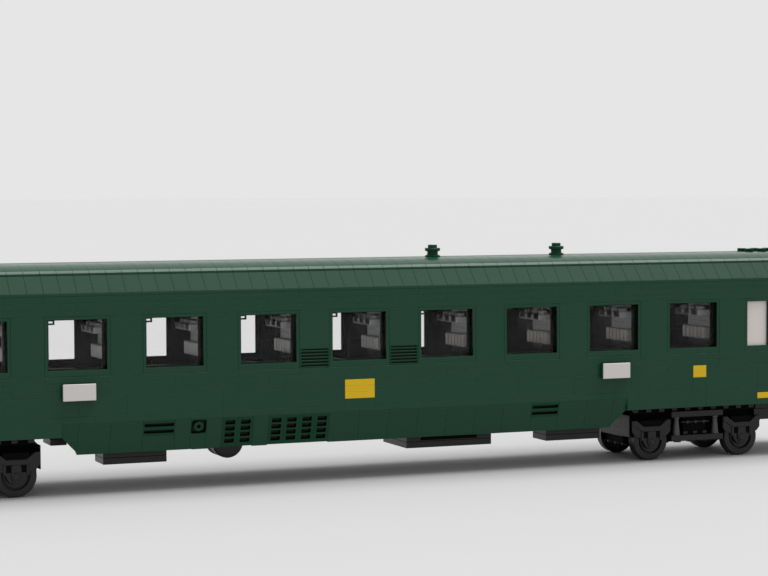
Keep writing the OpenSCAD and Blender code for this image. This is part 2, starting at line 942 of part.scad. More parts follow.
module wheelset_left_inner() {
    bogie_places(-1) wheelset(-axle_dx);
}

module wheelset_right_inner() {
    bogie_places(1) wheelset(-axle_dx);
}

module wheelset_right_outer() {
    bogie_places(1) wheelset(axle_dx);
}

floor_pan();
wall_near();
wall_far();
end_wall_left();
end_wall_right();
window_frames();
window_panes();
lavatory_windows();
pillar_grilles();
roof_slope_near();
roof_slope_far();
roof_deck();
roof_curve_near();
roof_curve_far();
roof_ridge();
roof_vents();
skirt_near();
skirt_far();
skirt_grilles();
destination_boards();
board_faces();
yellow_plates();
partitions();
partition_panels();
bench_bases();
bench_backs();
luggage_racks();
equipment_boxes();
air_tank();
door_frames();
gangways();
gangway_doors();
door_near_left();
door_near_right();
door_far_left();
door_far_right();
door_near_left_pane();
door_near_right_pane();
door_far_left_pane();
door_far_right_pane();
bogie_left_frame();
bogie_right_frame();
bogie_left_sides();
bogie_right_sides();
bogie_left_dampers();
bogie_right_dampers();
bogie_left_buffers();
bogie_right_buffers();
bogie_left_magnet();
bogie_right_magnet();
wheelset_left_outer();
wheelset_left_inner();
wheelset_right_inner();
wheelset_right_outer();
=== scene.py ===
"""Looks of the brick-built toy passenger coach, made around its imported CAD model.

Every size is in millimetres until a mesh is made, where it becomes metres. X runs along
the coach, Y across it with the near side at -Y, and Z up from the wheels' lowest point.
"""

import logging
import math
from dataclasses import dataclass, field
from enum import Enum
from typing import Callable

import bpy
import numpy as np
from mathutils import Matrix, Vector


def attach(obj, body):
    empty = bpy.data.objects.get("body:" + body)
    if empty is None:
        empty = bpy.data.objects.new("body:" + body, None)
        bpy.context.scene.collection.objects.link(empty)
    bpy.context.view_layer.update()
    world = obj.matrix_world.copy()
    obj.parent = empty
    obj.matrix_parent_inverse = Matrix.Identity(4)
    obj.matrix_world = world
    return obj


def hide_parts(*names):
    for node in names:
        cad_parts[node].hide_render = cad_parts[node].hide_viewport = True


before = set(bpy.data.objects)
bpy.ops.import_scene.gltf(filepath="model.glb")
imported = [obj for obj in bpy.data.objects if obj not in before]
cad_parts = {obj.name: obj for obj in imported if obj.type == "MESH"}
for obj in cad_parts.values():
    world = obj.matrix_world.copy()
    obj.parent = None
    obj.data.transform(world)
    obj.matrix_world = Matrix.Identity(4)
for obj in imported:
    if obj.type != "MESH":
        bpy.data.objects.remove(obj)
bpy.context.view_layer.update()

LOG = logging.getLogger("coach")
MM = 0.001
STUD = 8.0
PLATE = 3.2
BRICK = 9.6
STUD_R = 2.4
STUD_H = 1.7
# Each face's tint holds its brick's random tone, and painted shade where it is below -1.
TONE_AND_SHADE = "tint"
# Face tints below -1 fade the plastic to near black as painted shade: the first below for the shade
# deep in holes, the second for the shade on window reveals, rib valleys and the walls' inner faces.
PAINTED_HOLE_SHADE = -2.0
PAINTED_SHADE = -1.9
# The near black that painted shade fades to.
UNLIT = (0.0015, 0.002, 0.002)
# Where the yellow plates lie along X, right of the middle, and how high each starts.
SMALL_PLATE = (192.0, 200.0)
SMALL_PLATE_LOW = 44.8
LONG_PLATE = (232.0, 248.0)
LONG_PLATE_LOW = 32.0
MIDDLE_PLATE_LOW = 41.6


class Axis(Enum):
    """A direction that a shape is carried or turned along."""

    X = 0
    Y = 1
    Z = 2


class Slot(Enum):
    """The record's material slots."""

    GREEN = "green_plastic"
    BLACK = "black_plastic"
    UNDER = "underframe_plastic"
    BOGIE = "bogie_plastic"
    GREY = "grey_plastic"
    LIGHT_GREY = "light_grey_plastic"
    TAN_GREY = "tan_grey_plastic"
    WHITE = "white_plastic"
    YELLOW = "yellow_plastic"
    CLEAR = "clear_pane"
    FROSTED = "frosted_pane"
    STEEL = "magnet_steel"


# ---------------------------------------------------------------- shader building


class Signal:
    """One output socket, which takes part in sums written as Python expressions."""

    def __init__(self, graph: "Graph", socket: bpy.types.NodeSocket) -> None:
        """Holds the socket and the graph that it belongs to."""
        self.graph = graph
        self.socket = socket

    def _sum(self, operation: str, first: object, second: object) -> "Signal":
        """Adds one Math node.

        Args:
            operation: The Math node's operation.
            first: The first number or signal.
            second: The second number or signal.

        Returns:
            The result's signal.
        """
        return self.graph.add("ShaderNodeMath", {"operation": operation}, {0: first, 1: second})

    def __add__(self, other: object) -> "Signal":
        """The sum of both."""
        return self._sum("ADD", self, other)

    def __radd__(self, other: object) -> "Signal":
        """The sum of both."""
        return self._sum("ADD", other, self)

    def __sub__(self, other: object) -> "Signal":
        """This less the other."""
        return self._sum("SUBTRACT", self, other)

    def __rsub__(self, other: object) -> "Signal":
        """The other less this."""
        return self._sum("SUBTRACT", other, self)

    def __mul__(self, other: object) -> "Signal":
        """The product of both."""
        return self._sum("MULTIPLY", self, other)

    def __rmul__(self, other: object) -> "Signal":
        """The product of both."""
        return self._sum("MULTIPLY", other, self)

    def clipped(self, low: float, high: float) -> "Signal":
        """This signal held between two numbers.

        Args:
            low: The lowest value let through.
            high: The highest value let through.

        Returns:
            The clipped signal.
        """
        return self.graph.add("ShaderNodeClamp", {}, {"Value": self, "Min": low, "Max": high})


class Graph:
    """The node tree of one material, with its Principled shader in place."""

    def __init__(self, name: str) -> None:
        """Makes the material and keeps hold of its shader."""
        self.material = bpy.data.materials.new(name)
        self.material.use_nodes = True
        self.tree = self.material.node_tree
        self.shader = self.tree.nodes["Principled BSDF"]

    def add(self, kind: str, settings: dict, sockets: dict, output: object = 0) -> Signal:
        """Adds a node of any kind.

        Args:
            kind: The node's type.
            settings: The node's own settings, set first.
            sockets: Values or signals for its inputs, by name or number.
            output: The name or number of the output to hand back.

        Returns:
            The signal of that output.
        """
        node = self.tree.nodes.new(kind)
        for name, value in settings.items():
            setattr(node, name, value)
        for name, value in sockets.items():
            self.feed(node.inputs[name], value)
        return Signal(self, node.outputs[output])

    def feed(self, socket: bpy.types.NodeSocket, value: object) -> None:
        """Links a signal to a socket, or sets the socket's own value."""
        if isinstance(value, Signal):
            self.tree.links.new(value.socket, socket)
        else:
            socket.default_value = value

    def noise(self, scale: float, detail: float, stretch: tuple = (1.0, 1.0, 1.0)) -> Signal:
        """Cloudy noise over the piece.

        Args:
            scale: Clouds in a metre.
            detail: Finer octaves on top.
            stretch: How much finer the clouds are along each axis.

        Returns:
            The noise, about 0.5 in the mean.
        """
        place = self.add("ShaderNodeTexCoord", {}, {}, "Object")
        place = self.add("ShaderNodeMapping", {}, {"Vector": place, "Scale": stretch})
        return self.add("ShaderNodeTexNoise", {},
                        {"Vector": place, "Scale": scale, "Detail": detail}, "Fac")

    def blend(self, factor: Signal, first: object, second: object) -> Signal:
        """A colour between two colours.

        Args:
            factor: 0 for the first colour, 1 for the second.
            first: The first colour, as three numbers or a signal.
            second: The second colour, likewise.

        Returns:
            The blended colour.
        """
        ends = [c if isinstance(c, Signal) else (*c, 1.0) for c in (first, second)]
        return self.add("ShaderNodeMix", {"data_type": "RGBA"},
                        {"Factor": factor, 6: ends[0], 7: ends[1]}, 2)

    def bump(self, height: Signal, strength: float, depth: float) -> Signal:
        """A normal raised by a height signal.

        Args:
            height: The height, between 0 and 1.
            strength: How strongly the relief shows.
            depth: The relief's depth in metres.

        Returns:
            The bumped normal.
        """
        return self.add("ShaderNodeBump", {},
                        {"Height": height, "Strength": strength, "Distance": depth}, "Normal")

    def finish(self, **sockets: object) -> bpy.types.Material:
        """Feeds the shader's sockets, whose names have their spaces as underscores."""
        for name, value in sockets.items():
            self.feed(self.shader.inputs[name.replace("_", " ")], value)
        return self.material


@dataclass(frozen=True)
class MouldedPlastic:
    """Glossy moulded plastic with flow marks, faint scuffs and a tint that differs by brick.

    A face whose tint is below -1 fades towards UNLIT: that near black is painted shade.
    """

    name: str
    slot: Slot
    colour: tuple[float, float, float]
    roughness: float = 0.24
    gloss: float = 0.22
    tint: float = 0.05
    grain: float = 0.05

    def material(self) -> bpy.types.Material:
        """Builds the plastic's material."""
        g = Graph(self.name)
        # The tint holds each brick's random tone, and painted shade where it is below -1.
        brick = g.add("ShaderNodeAttribute", {"attribute_name": TONE_AND_SHADE}, {}, "Fac")
        flow = g.noise(28.0, 2.0)
        grain = g.noise(1400.0, 2.0)
        scuff = g.noise(160.0, 4.0, (1.0, 6.0, 9.0))
        share = (brick * 0.5 + 0.5 + (flow - 0.5) * 0.7).clipped(0.0, 1.0)
        dark = tuple(c * (1 - self.tint) for c in self.colour)
        light = tuple(c * (1 + self.tint) + 0.001 for c in self.colour)
        # Painted shade: tints below -1 fade the colour to UNLIT.
        lit = (brick + 2.0).clipped(0.0, 1.0)
        rough = self.roughness + (scuff - 0.5) * 0.16 + (grain - 0.5) * 0.08
        return g.finish(
            Base_Color=g.blend(lit, UNLIT, g.blend(share, dark, light)),
            Roughness=rough.clipped(0.06, 1.0),
            Specular_IOR_Level=self.gloss,
            Normal=g.bump(grain * 0.5 + scuff * 0.5, self.grain, 0.0001),
        )


@dataclass(frozen=True)
class ClearPane:
    """Clear moulded window with a faint haze and finger smudges."""

    name: str
    slot: Slot
    colour: tuple[float, float, float] = (0.30, 0.30, 0.30)

    def material(self) -> bpy.types.Material:
        """Builds the clear window's material."""
        g = Graph(self.name)
        smudge = g.noise(90.0, 4.0)
        cloud = g.noise(30.0, 1.0)
        film = (0.03 + (smudge - 0.5) * 0.03 + (cloud - 0.5) * 0.02).clipped(0.008, 0.2)
        return g.finish(
            Base_Color=g.blend(cloud, self.colour, tuple(c * 0.9 for c in self.colour)),
            Roughness=(0.05 + smudge * 0.08).clipped(0.02, 0.4),
            Specular_IOR_Level=0.5,
            Alpha=film,
        )


@dataclass(frozen=True)
class FrostedPane:
    """Milky window plastic with fine speckle and a soft mottle."""

    name: str
    slot: Slot
    colour: tuple[float, float, float]

    def material(self) -> bpy.types.Material:
        """Builds the frosted window's material."""
        g = Graph(self.name)
        mottle = g.noise(120.0, 3.0)
        speckle = g.noise(2600.0, 1.0)
        return g.finish(
            Base_Color=g.blend(mottle, self.colour, tuple(c * 0.93 for c in self.colour)),
            Roughness=(0.42 + (speckle - 0.5) * 0.3).clipped(0.1, 1.0),
            Specular_IOR_Level=0.3,
            Normal=g.bump(speckle, 0.12, 0.0001),
        )


@dataclass(frozen=True)
class TurnedSteel:
    """Plated magnet face with brushed streaks and dull patches."""

    name: str
    slot: Slot
    colour: tuple[float, float, float]

    def material(self) -> bpy.types.Material:
        """Builds the plated steel's material."""
        g = Graph(self.name)
        patch = g.noise(300.0, 3.0)
        brushed = g.noise(900.0, 2.0, (0.2, 3.0, 3.0))
        return g.finish(
            Base_Color=g.blend(patch, self.colour, tuple(c * 0.7 for c in self.colour)),
            Roughness=(0.22 + (brushed - 0.5) * 0.25 + patch * 0.1).clipped(0.08, 0.9),
            Metallic=1.0,
            Normal=g.bump(brushed, 0.08, 0.0001),
        )


@dataclass
class Finishes:
    """Every finish of the coach, each built once."""

    GREEN = MouldedPlastic("dark_green_plastic", Slot.GREEN, (0.0065, 0.044, 0.0225), 0.25, 0.2)
    # A darker, duller copy of the wall green: its darker colour is painted shade on the slopes and
    # the ridge.
    ROOF_SHADED = MouldedPlastic("roof_green_painted_shade", Slot.GREEN, (0.006, 0.037, 0.0195), 0.28, 0.04)
    # A lighter copy of the wall green: its lighter colour paints part of the curved slopes' sheen.
    CURVE_SHEEN = MouldedPlastic("curve_green_painted_sheen", Slot.GREEN, (0.008, 0.046, 0.026), 0.2, 0.2)
    # A darker copy of the wall green: its darker colour is painted shade on the grilles, the
    # slotted tiles and the vent caps.
    GRILLE_SHADED = MouldedPlastic("grille_green_painted_shade", Slot.GREEN, (0.004, 0.041, 0.0185), 0.32, 0.13)
    BLACK = MouldedPlastic("black_plastic", Slot.BLACK, (0.006, 0.006, 0.0065), 0.26, 0.3)
    UNDER = MouldedPlastic("underframe_plastic", Slot.UNDER, (0.008, 0.008, 0.009), 0.34, 0.3)
    BOGIE = MouldedPlastic("bogie_plastic", Slot.BOGIE, (0.009, 0.009, 0.0095), 0.32, 0.3)
    # A darker, duller black than the bogie's: painted shade for parts that lie in the dark.
    SHADED_BLACK = MouldedPlastic("painted_shade_black_plastic", Slot.BOGIE, (0.003, 0.003, 0.0035), 0.6, 0.03)
    FRAME = MouldedPlastic("window_green_plastic", Slot.GREEN, (0.0065, 0.044, 0.0225), 0.16, 0.2)
    GREY = MouldedPlastic("blue_grey_plastic", Slot.GREY, (0.24, 0.245, 0.25), 0.28, 0.35)
    RACK = MouldedPlastic("rack_grey_plastic", Slot.GREY, (0.62, 0.625, 0.63), 0.28, 0.35)
    SILVER = MouldedPlastic("light_grey_plastic", Slot.LIGHT_GREY, (0.05, 0.052, 0.055), 0.3, 0.4)
    TAN = MouldedPlastic("tan_grey_plastic", Slot.TAN_GREY, (0.50, 0.48, 0.44), 0.3, 0.4)
    WHITE = MouldedPlastic("white_plastic", Slot.WHITE, (0.55, 0.525, 0.51), 0.3, 0.4, 0.02)
    YELLOW = MouldedPlastic("yellow_plastic", Slot.YELLOW, (0.60, 0.385, 0.008), 0.26, 0.2, 0.03)
    CLEAR = ClearPane("clear_pane", Slot.CLEAR)
    FROSTED = FrostedPane("frosted_pane", Slot.FROSTED, (0.63, 0.585, 0.56))
    STEEL = TurnedSteel("magnet_steel", Slot.STEEL, (0.55, 0.56, 0.57))

    def __post_init__(self) -> None:
        """Starts the store of built materials."""
        self._built = {}

    def of(self, finish: object) -> bpy.types.Material:
        """The material of a finish, built when it is first asked for."""
        if finish.name not in self._built:
            self._built[finish.name] = finish.material()
        return self._built[finish.name]


# ---------------------------------------------------------------- surfaces


@dataclass
class Surface:
    """Points in millimetres, with faces in arrays of one size each and a tint for each face."""

    points: np.ndarray
    faces: list[np.ndarray]
    tints: list[np.ndarray] = field(default_factory=list)

    def __post_init__(self) -> None:
        """Gives a surface with no tint a neutral one."""
        if not self.tints:
            self.tints = [np.zeros(len(f)) for f in self.faces]

    def moved(self, x: float = 0.0, y: float = 0.0, z: float = 0.0) -> "Surface":
        """This surface moved along the three axes."""
        return Surface(self.points + np.array([x, y, z]), self.faces, self.tints)

    def mirrored(self, axis: Axis) -> "Surface":
        """This surface mirrored across the middle, with its faces turned to stay outward."""
        points = self.points.copy()
        points[:, axis.value] *= -1
        return Surface(points, [f[:, ::-1] for f in self.faces], self.tints)

    def turned_to(self, axis: Axis, sense: float = 1.0) -> "Surface":
        """A shape made about Z, laid along another axis.

        Args:
            axis: The axis that Z becomes.
            sense: 1 to point along the axis, -1 against it.

        Returns:
            The turned surface.
        """
        x, y, z = self.points.T
        if axis is Axis.X:
            points = np.stack([z * sense, y, -x * sense], 1)
        elif axis is Axis.Y:
            points = np.stack([x, z * sense, -y * sense], 1)
        else:
            points = np.stack([x, y * sense, z * sense], 1)
        return Surface(points, self.faces, self.tints)

    def with_tint(self, value: float) -> "Surface":
        """This surface with one tint all over."""
        return Surface(self.points, self.faces, [np.full(len(f), value) for f in self.faces])

    def shaded(self, value: float, test: Callable[[np.ndarray], np.ndarray]) -> "Surface":
        """This surface with a tint on some of its faces.

        Args:
            value: The tint.
            test: Takes the faces' middles, one row each, and says which get the tint.

        Returns:
            The surface with those faces tinted.
        """
        tints = [np.where(test(self.points[f].mean(1)), value, t)
                 for f, t in zip(self.faces, self.tints)]
        return Surface(self.points, self.faces, tints)


def joined(parts: list[Surface]) -> Surface:
    """Several surfaces as one.

    Args:
        parts: The surfaces.

    Returns:
        One surface with all their points and faces.
    """
    starts = np.cumsum([0] + [len(p.points) for p in parts[:-1]])
    faces = [f + s for p, s in zip(parts, starts) for f in p.faces]
    tints = [t for p in parts for t in p.tints]
    return Surface(np.concatenate([p.points for p in parts]), faces, tints)


def repeated(part: Surface, places: np.ndarray) -> Surface:
    """Copies of one surface, moved to each place.

    Args:
        part: The surface.
        places: One row of X, Y, Z for each copy.

    Returns:
        One surface: point p of copy k stands at p + places[k].
    """
    places = np.atleast_2d(places)
    n, k = len(part.points), len(places)
    points = (places[:, None, :] + part.points[None]).reshape(-1, 3)
    shift = (np.arange(k) * n)[:, None, None]
    faces = [(f[None] + shift).reshape(-1, f.shape[1]) for f in part.faces]
    return Surface(points, faces, [np.tile(t, k) for t in part.tints])


def both(part: Surface, axis: Axis) -> Surface:
    """A surface and its mirror image."""
    return joined([part, part.mirrored(axis)])


def stretches(marks: np.ndarray) -> list[tuple[float, float]]:
    """The stretches between neighbouring marks."""
    return list(zip(marks[:-1], marks[1:]))


def layers(low: float, count: int) -> list[tuple[float, float]]:
    """The lower and upper heights of plates stacked from one level up."""
    return stretches(low + PLATE * np.arange(count + 1))


def span(side: float, ends: tuple[float, float]) -> tuple[float, float]:
    """A stretch of X laid on one side of the middle, its low end first."""
    return tuple(sorted(side * x for x in ends))


def box_template() -> tuple[np.ndarray, np.ndarray, list[np.ndarray]]:
    """A box with every edge and corner cut off flat.

    Each of the 8 corners s gives 3 points, one for each axis a: the point stays at the
    corner along a, and moves inward by the cut along the two other axes.

    Returns:
        The corners' signs, the cut's share along each axis, and the faces.
    """
    signs = np.array([[i, j, k] for i in (-1, 1) for j in (-1, 1) for k in (-1, 1)], float)
    corner = np.repeat(signs, 3, 0)
    share = np.tile(1 - np.eye(3), (8, 1))
    trial = corner * (1 - 0.2 * share)
    axis_of = np.tile(np.arange(3), 8)
    fours, threes = [], []

    def ordered(members: np.ndarray) -> np.ndarray:
        """The members of one face in order, seen from outside."""
        p = trial[members]
        mid = p.mean(0)
        u = p[0] - mid
        u /= np.linalg.norm(u)
        v = np.cross(mid / np.linalg.norm(mid), u)
        return members[np.argsort(np.arctan2((p - mid) @ v, (p - mid) @ u))]

    for a in range(3):
        for s in (-1, 1):
            fours.append(ordered(np.flatnonzero((axis_of == a) & (corner[:, a] == s))))
            for t in (-1, 1):
                b = (a + 1) % 3
                on = (corner[:, a] == s) & (corner[:, b] == t) & (axis_of != (a + 2) % 3)
                fours.append(ordered(np.flatnonzero(on)))
    for s in signs:
        threes.append(ordered(np.flatnonzero((corner == s).all(1))))
    return corner, share, [np.array(fours), np.array(threes)]


BOX = box_template()


def bricks(boxes: np.ndarray, cut: float = 0.14, tint: float = 0.0, seed: int = 1) -> Surface:
    """Boxes with their edges cut off flat, each a brick of its own.

    Point: middle + half size x corner sign - cut x corner sign x share.

    Args:
        boxes: One row of x0, x1, y0, y1, z0, z1 for each box.
        cut: The width of the flat on each edge.
        tint: How far the boxes' tints spread to either side of neutral.
        seed: Where the tints' random draws start.

    Returns:
        One surface of all the boxes.
    """
    boxes = np.atleast_2d(np.asarray(boxes, float))
    corner, share, faces = BOX
    middle = (boxes[:, 0::2] + boxes[:, 1::2]) / 2
    half = np.abs(boxes[:, 1::2] - boxes[:, 0::2]) / 2
    small = np.minimum(cut, half.min(1) * 0.8)[:, None, None]
    points = middle[:, None] + corner * half[:, None] - small * corner * share
    n = len(boxes)
    shift = (np.arange(n) * len(corner))[:, None, None]
    draw = np.random.default_rng(seed).uniform(-tint, tint, n)
    return Surface(points.reshape(-1, 3),
                   [(f[None] + shift).reshape(-1, f.shape[1]) for f in faces],
                   [np.repeat(draw, len(f)) for f in faces])


def inset(profile: np.ndarray, amount: float) -> np.ndarray:
    """An outline moved inward by an even amount.

    Each corner moves along the sum of its two edges' inward normals, n1 + n2, times
    amount / (1 + n1 . n2), so that both edges move by the amount.

    Args:
        profile: The outline's corners, anticlockwise.
        amount: How far its edges move inward.

    Returns:
        The moved corners.
    """
    edge = np.roll(profile, -1, 0) - profile
    edge /= np.linalg.norm(edge, axis=1, keepdims=True)
    normal = np.stack([-edge[:, 1], edge[:, 0]], 1)
    before = np.roll(normal, 1, 0)
    turn = 1 + (normal * before).sum(1, keepdims=True)
    return profile + (normal + before) * amount / np.maximum(turn, 0.3)


def softened(profile: np.ndarray, cut: float) -> np.ndarray:
    """An outline with each corner cut off: two points at the cut's distance along its edges."""
    back = np.roll(profile, 1, 0) - profile
    ahead = np.roll(profile, -1, 0) - profile
    lb = np.linalg.norm(back, axis=1, keepdims=True)
    la = np.linalg.norm(ahead, axis=1, keepdims=True)
    first = profile + back / lb * np.minimum(cut, lb * 0.4)
    second = profile + ahead / la * np.minimum(cut, la * 0.4)
    return np.stack([first, second], 1).reshape(-1, 2)


def prism(profile: list, low: float, high: float, axis: Axis, cut: float = 0.14) -> Surface:
    """An outline carried straight along an axis, with cut edges at both ends.

    Four rings of the outline: inset at low, whole at low + cut and at high - cut, and
    inset at high. Along X the outline is (y, z), along Y it is (x, z), along Z it is (x, y).

    Args:
        profile: The outline's corners.
        low: Where it starts along the axis.
        high: Where it ends.
        axis: The axis it is carried along.
        cut: The width of the flats.

    Returns:
        The closed surface.
    """
    flat = np.asarray(profile, float)
    area = (flat[:, 0] * np.roll(flat[:, 1], -1) - np.roll(flat[:, 0], -1) * flat[:, 1]).sum()
    flat = softened(flat if area > 0 else flat[::-1], cut)
    ends = inset(flat, cut * 0.9)
    rings = [(ends, low), (flat, low + cut), (flat, high - cut), (ends, high)]
    order = {Axis.X: (2, 0, 1), Axis.Y: (0, 2, 1), Axis.Z: (0, 1, 2)}[axis]
    n = len(flat)
    points = np.concatenate([np.column_stack([r, np.full(n, h)])[:, order] for r, h in rings])
    i = np.arange(n)
    j = (i + 1) % n
    sides = np.concatenate([np.stack([i, j, j + n, i + n], 1) + k * n for k in range(3)])
    caps = [i[::-1][None], (i + 3 * n)[None]]
    faces = [sides, *caps]
    if axis is Axis.Y:
        faces = [f[:, ::-1] for f in faces]
    return Surface(points, faces)


def turned(profile: list, steps: int = 32) -> Surface:
    """An outline of radius and height, turned about Z.

    Point (i, j): r_i cos a_j, r_i sin a_j, h_i, with a_j = 2 pi j / steps. A radius of
    nought gives one pole point.

    Args:
        profile: Rows of radius and height, from the bottom pole round to the top one.
        steps: Steps round the turn.

    Returns:
        The closed surface.
    """
    r, h = np.asarray(profile, float).T
    a = np.arange(steps) * 2 * math.pi / steps
    points = np.stack([np.outer(r, np.cos(a)), np.outer(r, np.sin(a)),
                       np.repeat(h[:, None], steps, 1)], 2)
    ids = np.arange(len(r) * steps).reshape(len(r), steps)
    ids = np.where((r == 0)[:, None], ids[:, :1], ids)
    wrap = np.roll(ids, -1, 1)
    quads = np.stack([ids[:-1], wrap[:-1], wrap[1:], ids[1:]], 2).reshape(-1, 4)
    low = quads[:, 0] == quads[:, 1]
    top = quads[:, 2] == quads[:, 3]
    threes = np.concatenate([quads[low & ~top][:, [0, 2, 3]], quads[top & ~low][:, [0, 1, 2]]])
    fours = quads[~low & ~top]
    used, back = np.unique(np.concatenate([fours.ravel(), threes.ravel()]), return_inverse=True)
    cut = fours.size
    return Surface(points.reshape(-1, 3)[used],
                   [back[:cut].reshape(-1, 4), back[cut:].reshape(-1, 3)])


def stud(radius: float = STUD_R, height: float = STUD_H, steps: int = 24) -> Surface:
    """One stud about Z, with its top edge cut off and its foot closed."""
    return turned([(0, -0.2), (radius, -0.2), (radius, height - 0.25),
                   (radius - 0.25, height), (0, height)], steps)


def mitred(outer: tuple, inner: tuple, profile: list, axis: Axis) -> Surface:
    """A closed profile carried round a rectangle, mitred at its corners.

    Point (corner c, profile row k): outer_c + d_k (inner_c - outer_c), at depth e_k.

    Args:
        outer: The outer rectangle: u0, u1, v0, v1.
        inner: The inner rectangle: u0, u1, v0, v1.
        profile: Rows of d, the share of the way inward, and e, the place along the axis,
            going round the profile's closed outline.
        axis: The axis that the frame looks along: Y for u = x and v = z, X for y and z.

    Returns:
        The closed ring.
    """
    def corners(box: tuple) -> np.ndarray:
        """The rectangle's corners, anticlockwise in u and v."""
        u0, u1, v0, v1 = box
        return np.array([[u0, v0], [u1, v0], [u1, v1], [u0, v1]], float)

    d, e = np.asarray(profile, float).T
    co, ci = corners(outer), corners(inner)
    flat = co[:, None] + d[None, :, None] * (ci - co)[:, None]
    depth = np.broadcast_to(e[None, :, None], (4, len(d), 1))
    ring = np.concatenate([flat, depth], 2)
    order = (0, 2, 1) if axis is Axis.Y else (2, 0, 1)
    points = ring[:, :, order].reshape(-1, 3)
    m = len(d)
    c = np.arange(4)[:, None]
    k = np.arange(m)[None]
    at = lambda a, b: (a % 4) * m + b % m
    quads = np.stack([at(c, k), at(c + 1, k), at(c + 1, k + 1), at(c, k + 1)], 2).reshape(-1, 4)
    part = Surface(points, [quads])
    p = points[quads]
    area = np.cross(p[:, 1] - p[:, 0], p[:, 3] - p[:, 0])
    volume = (p[:, 0] * area).sum()
    return part if volume > 0 else Surface(points, [quads[:, ::-1]])


def frame_profile(front: float, back: float, cut: float = 0.16, share: float = 0.1) -> list:
    """A bar's outline for mitred(), from its front to its back, with cut corners."""
    s = math.copysign(cut, back - front)
    return [(0, front + s), (share, front), (1 - share, front), (1, front + s),
            (1, back - s), (1 - share, back), (share, back), (0, back - s)]


def piece(name: str, part: Surface, finish: object, finishes: Finishes, body: str = "coach",
          replaces: tuple = (), smooth: float = 20.5) -> bpy.types.Object:
    """Makes one finished object from a surface, on its body.

    Args:
        name: The piece's name.
        part: Its surface in millimetres.
        finish: The finish it wears.
        finishes: The store of materials.
        body: The CAD body that it rides on.
        replaces: The CAD nodes that it stands for.
        smooth: The angle in degrees under which neighbouring faces shade as one.

    Returns:
        The object.
    """
    mesh = bpy.data.meshes.new(name)
    flat = np.concatenate([f.ravel() for f in part.faces]).astype(np.int32)
    sizes = np.concatenate([np.full(len(f), f.shape[1]) for f in part.faces]).astype(np.int32)
    mesh.vertices.add(len(part.points))
    mesh.vertices.foreach_set("co", (part.points * MM).astype(np.float32).ravel())
    mesh.loops.add(len(flat))
    mesh.loops.foreach_set("vertex_index", flat)
    mesh.polygons.add(len(sizes))
    starts = np.concatenate([[0], np.cumsum(sizes)[:-1]]).astype(np.int32)
    mesh.polygons.foreach_set("loop_start", starts)
    mesh.polygons.foreach_set("use_smooth", np.ones(len(sizes), bool))
    mesh.update(calc_edges=True)
    mesh.validate()
    # Each face's tint: its brick's random tone, and painted shade where it is below -1.
    tint = mesh.attributes.new(TONE_AND_SHADE, "FLOAT", "FACE")
    tint.data.foreach_set("value", np.concatenate(part.tints).astype(np.float32))
    mesh.set_sharp_from_angle(angle=math.radians(smooth))
    obj = bpy.data.objects.new(name, mesh)
    bpy.context.scene.collection.objects.link(obj)
    obj.data.materials.append(finishes.of(finish))
    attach(obj, body)
    if replaces:
        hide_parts(*replaces)
    LOG.info("%s: %d faces on %s", name, len(mesh.polygons), body)
    return obj


def pair(stem: str, part: Surface, finish: object, finishes: Finishes, nodes: str,
         axis: Axis = Axis.Y, ends: tuple[str, str] = ("near", "far")) -> None:
    """Makes two pieces that mirror each other, each in place of its own CAD node.

    Args:
        stem: The pieces' names before their ends.
        part: The first piece's surface in millimetres.
        finish: The finish that both wear.
        finishes: The store of materials.
        nodes: The CAD nodes' names before their ends.
        axis: The axis that they mirror across.
        ends: The ends of the two pieces' names, which the nodes share.
    """
    for end, one in zip(ends, (part, part.mirrored(axis))):
        piece(f"{stem}_{end}", one, finish, finishes, replaces=(f"{nodes}_{end}",))


def dress(node: str, finish: object, finishes: Finishes) -> None:
    """Gives a CAD node that stays in view its finish.

    Args:
        node: The CAD node's name.
        finish: The finish it wears.
        finishes: The store of materials.
    """
    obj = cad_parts[node]
    obj.data.materials.clear()
    obj.data.materials.append(finishes.of(finish))
    LOG.info("%s: dressed in %s", node, finish.name)


# ---------------------------------------------------------------- the coach's body


@dataclass(frozen=True)
class Course:
    """One course of wall bricks: its heights, its upright seams and its stretch along X."""

    low: float
    high: float
    seams: tuple[float, ...]
    start: float = -288.0
    end: float = 288.0


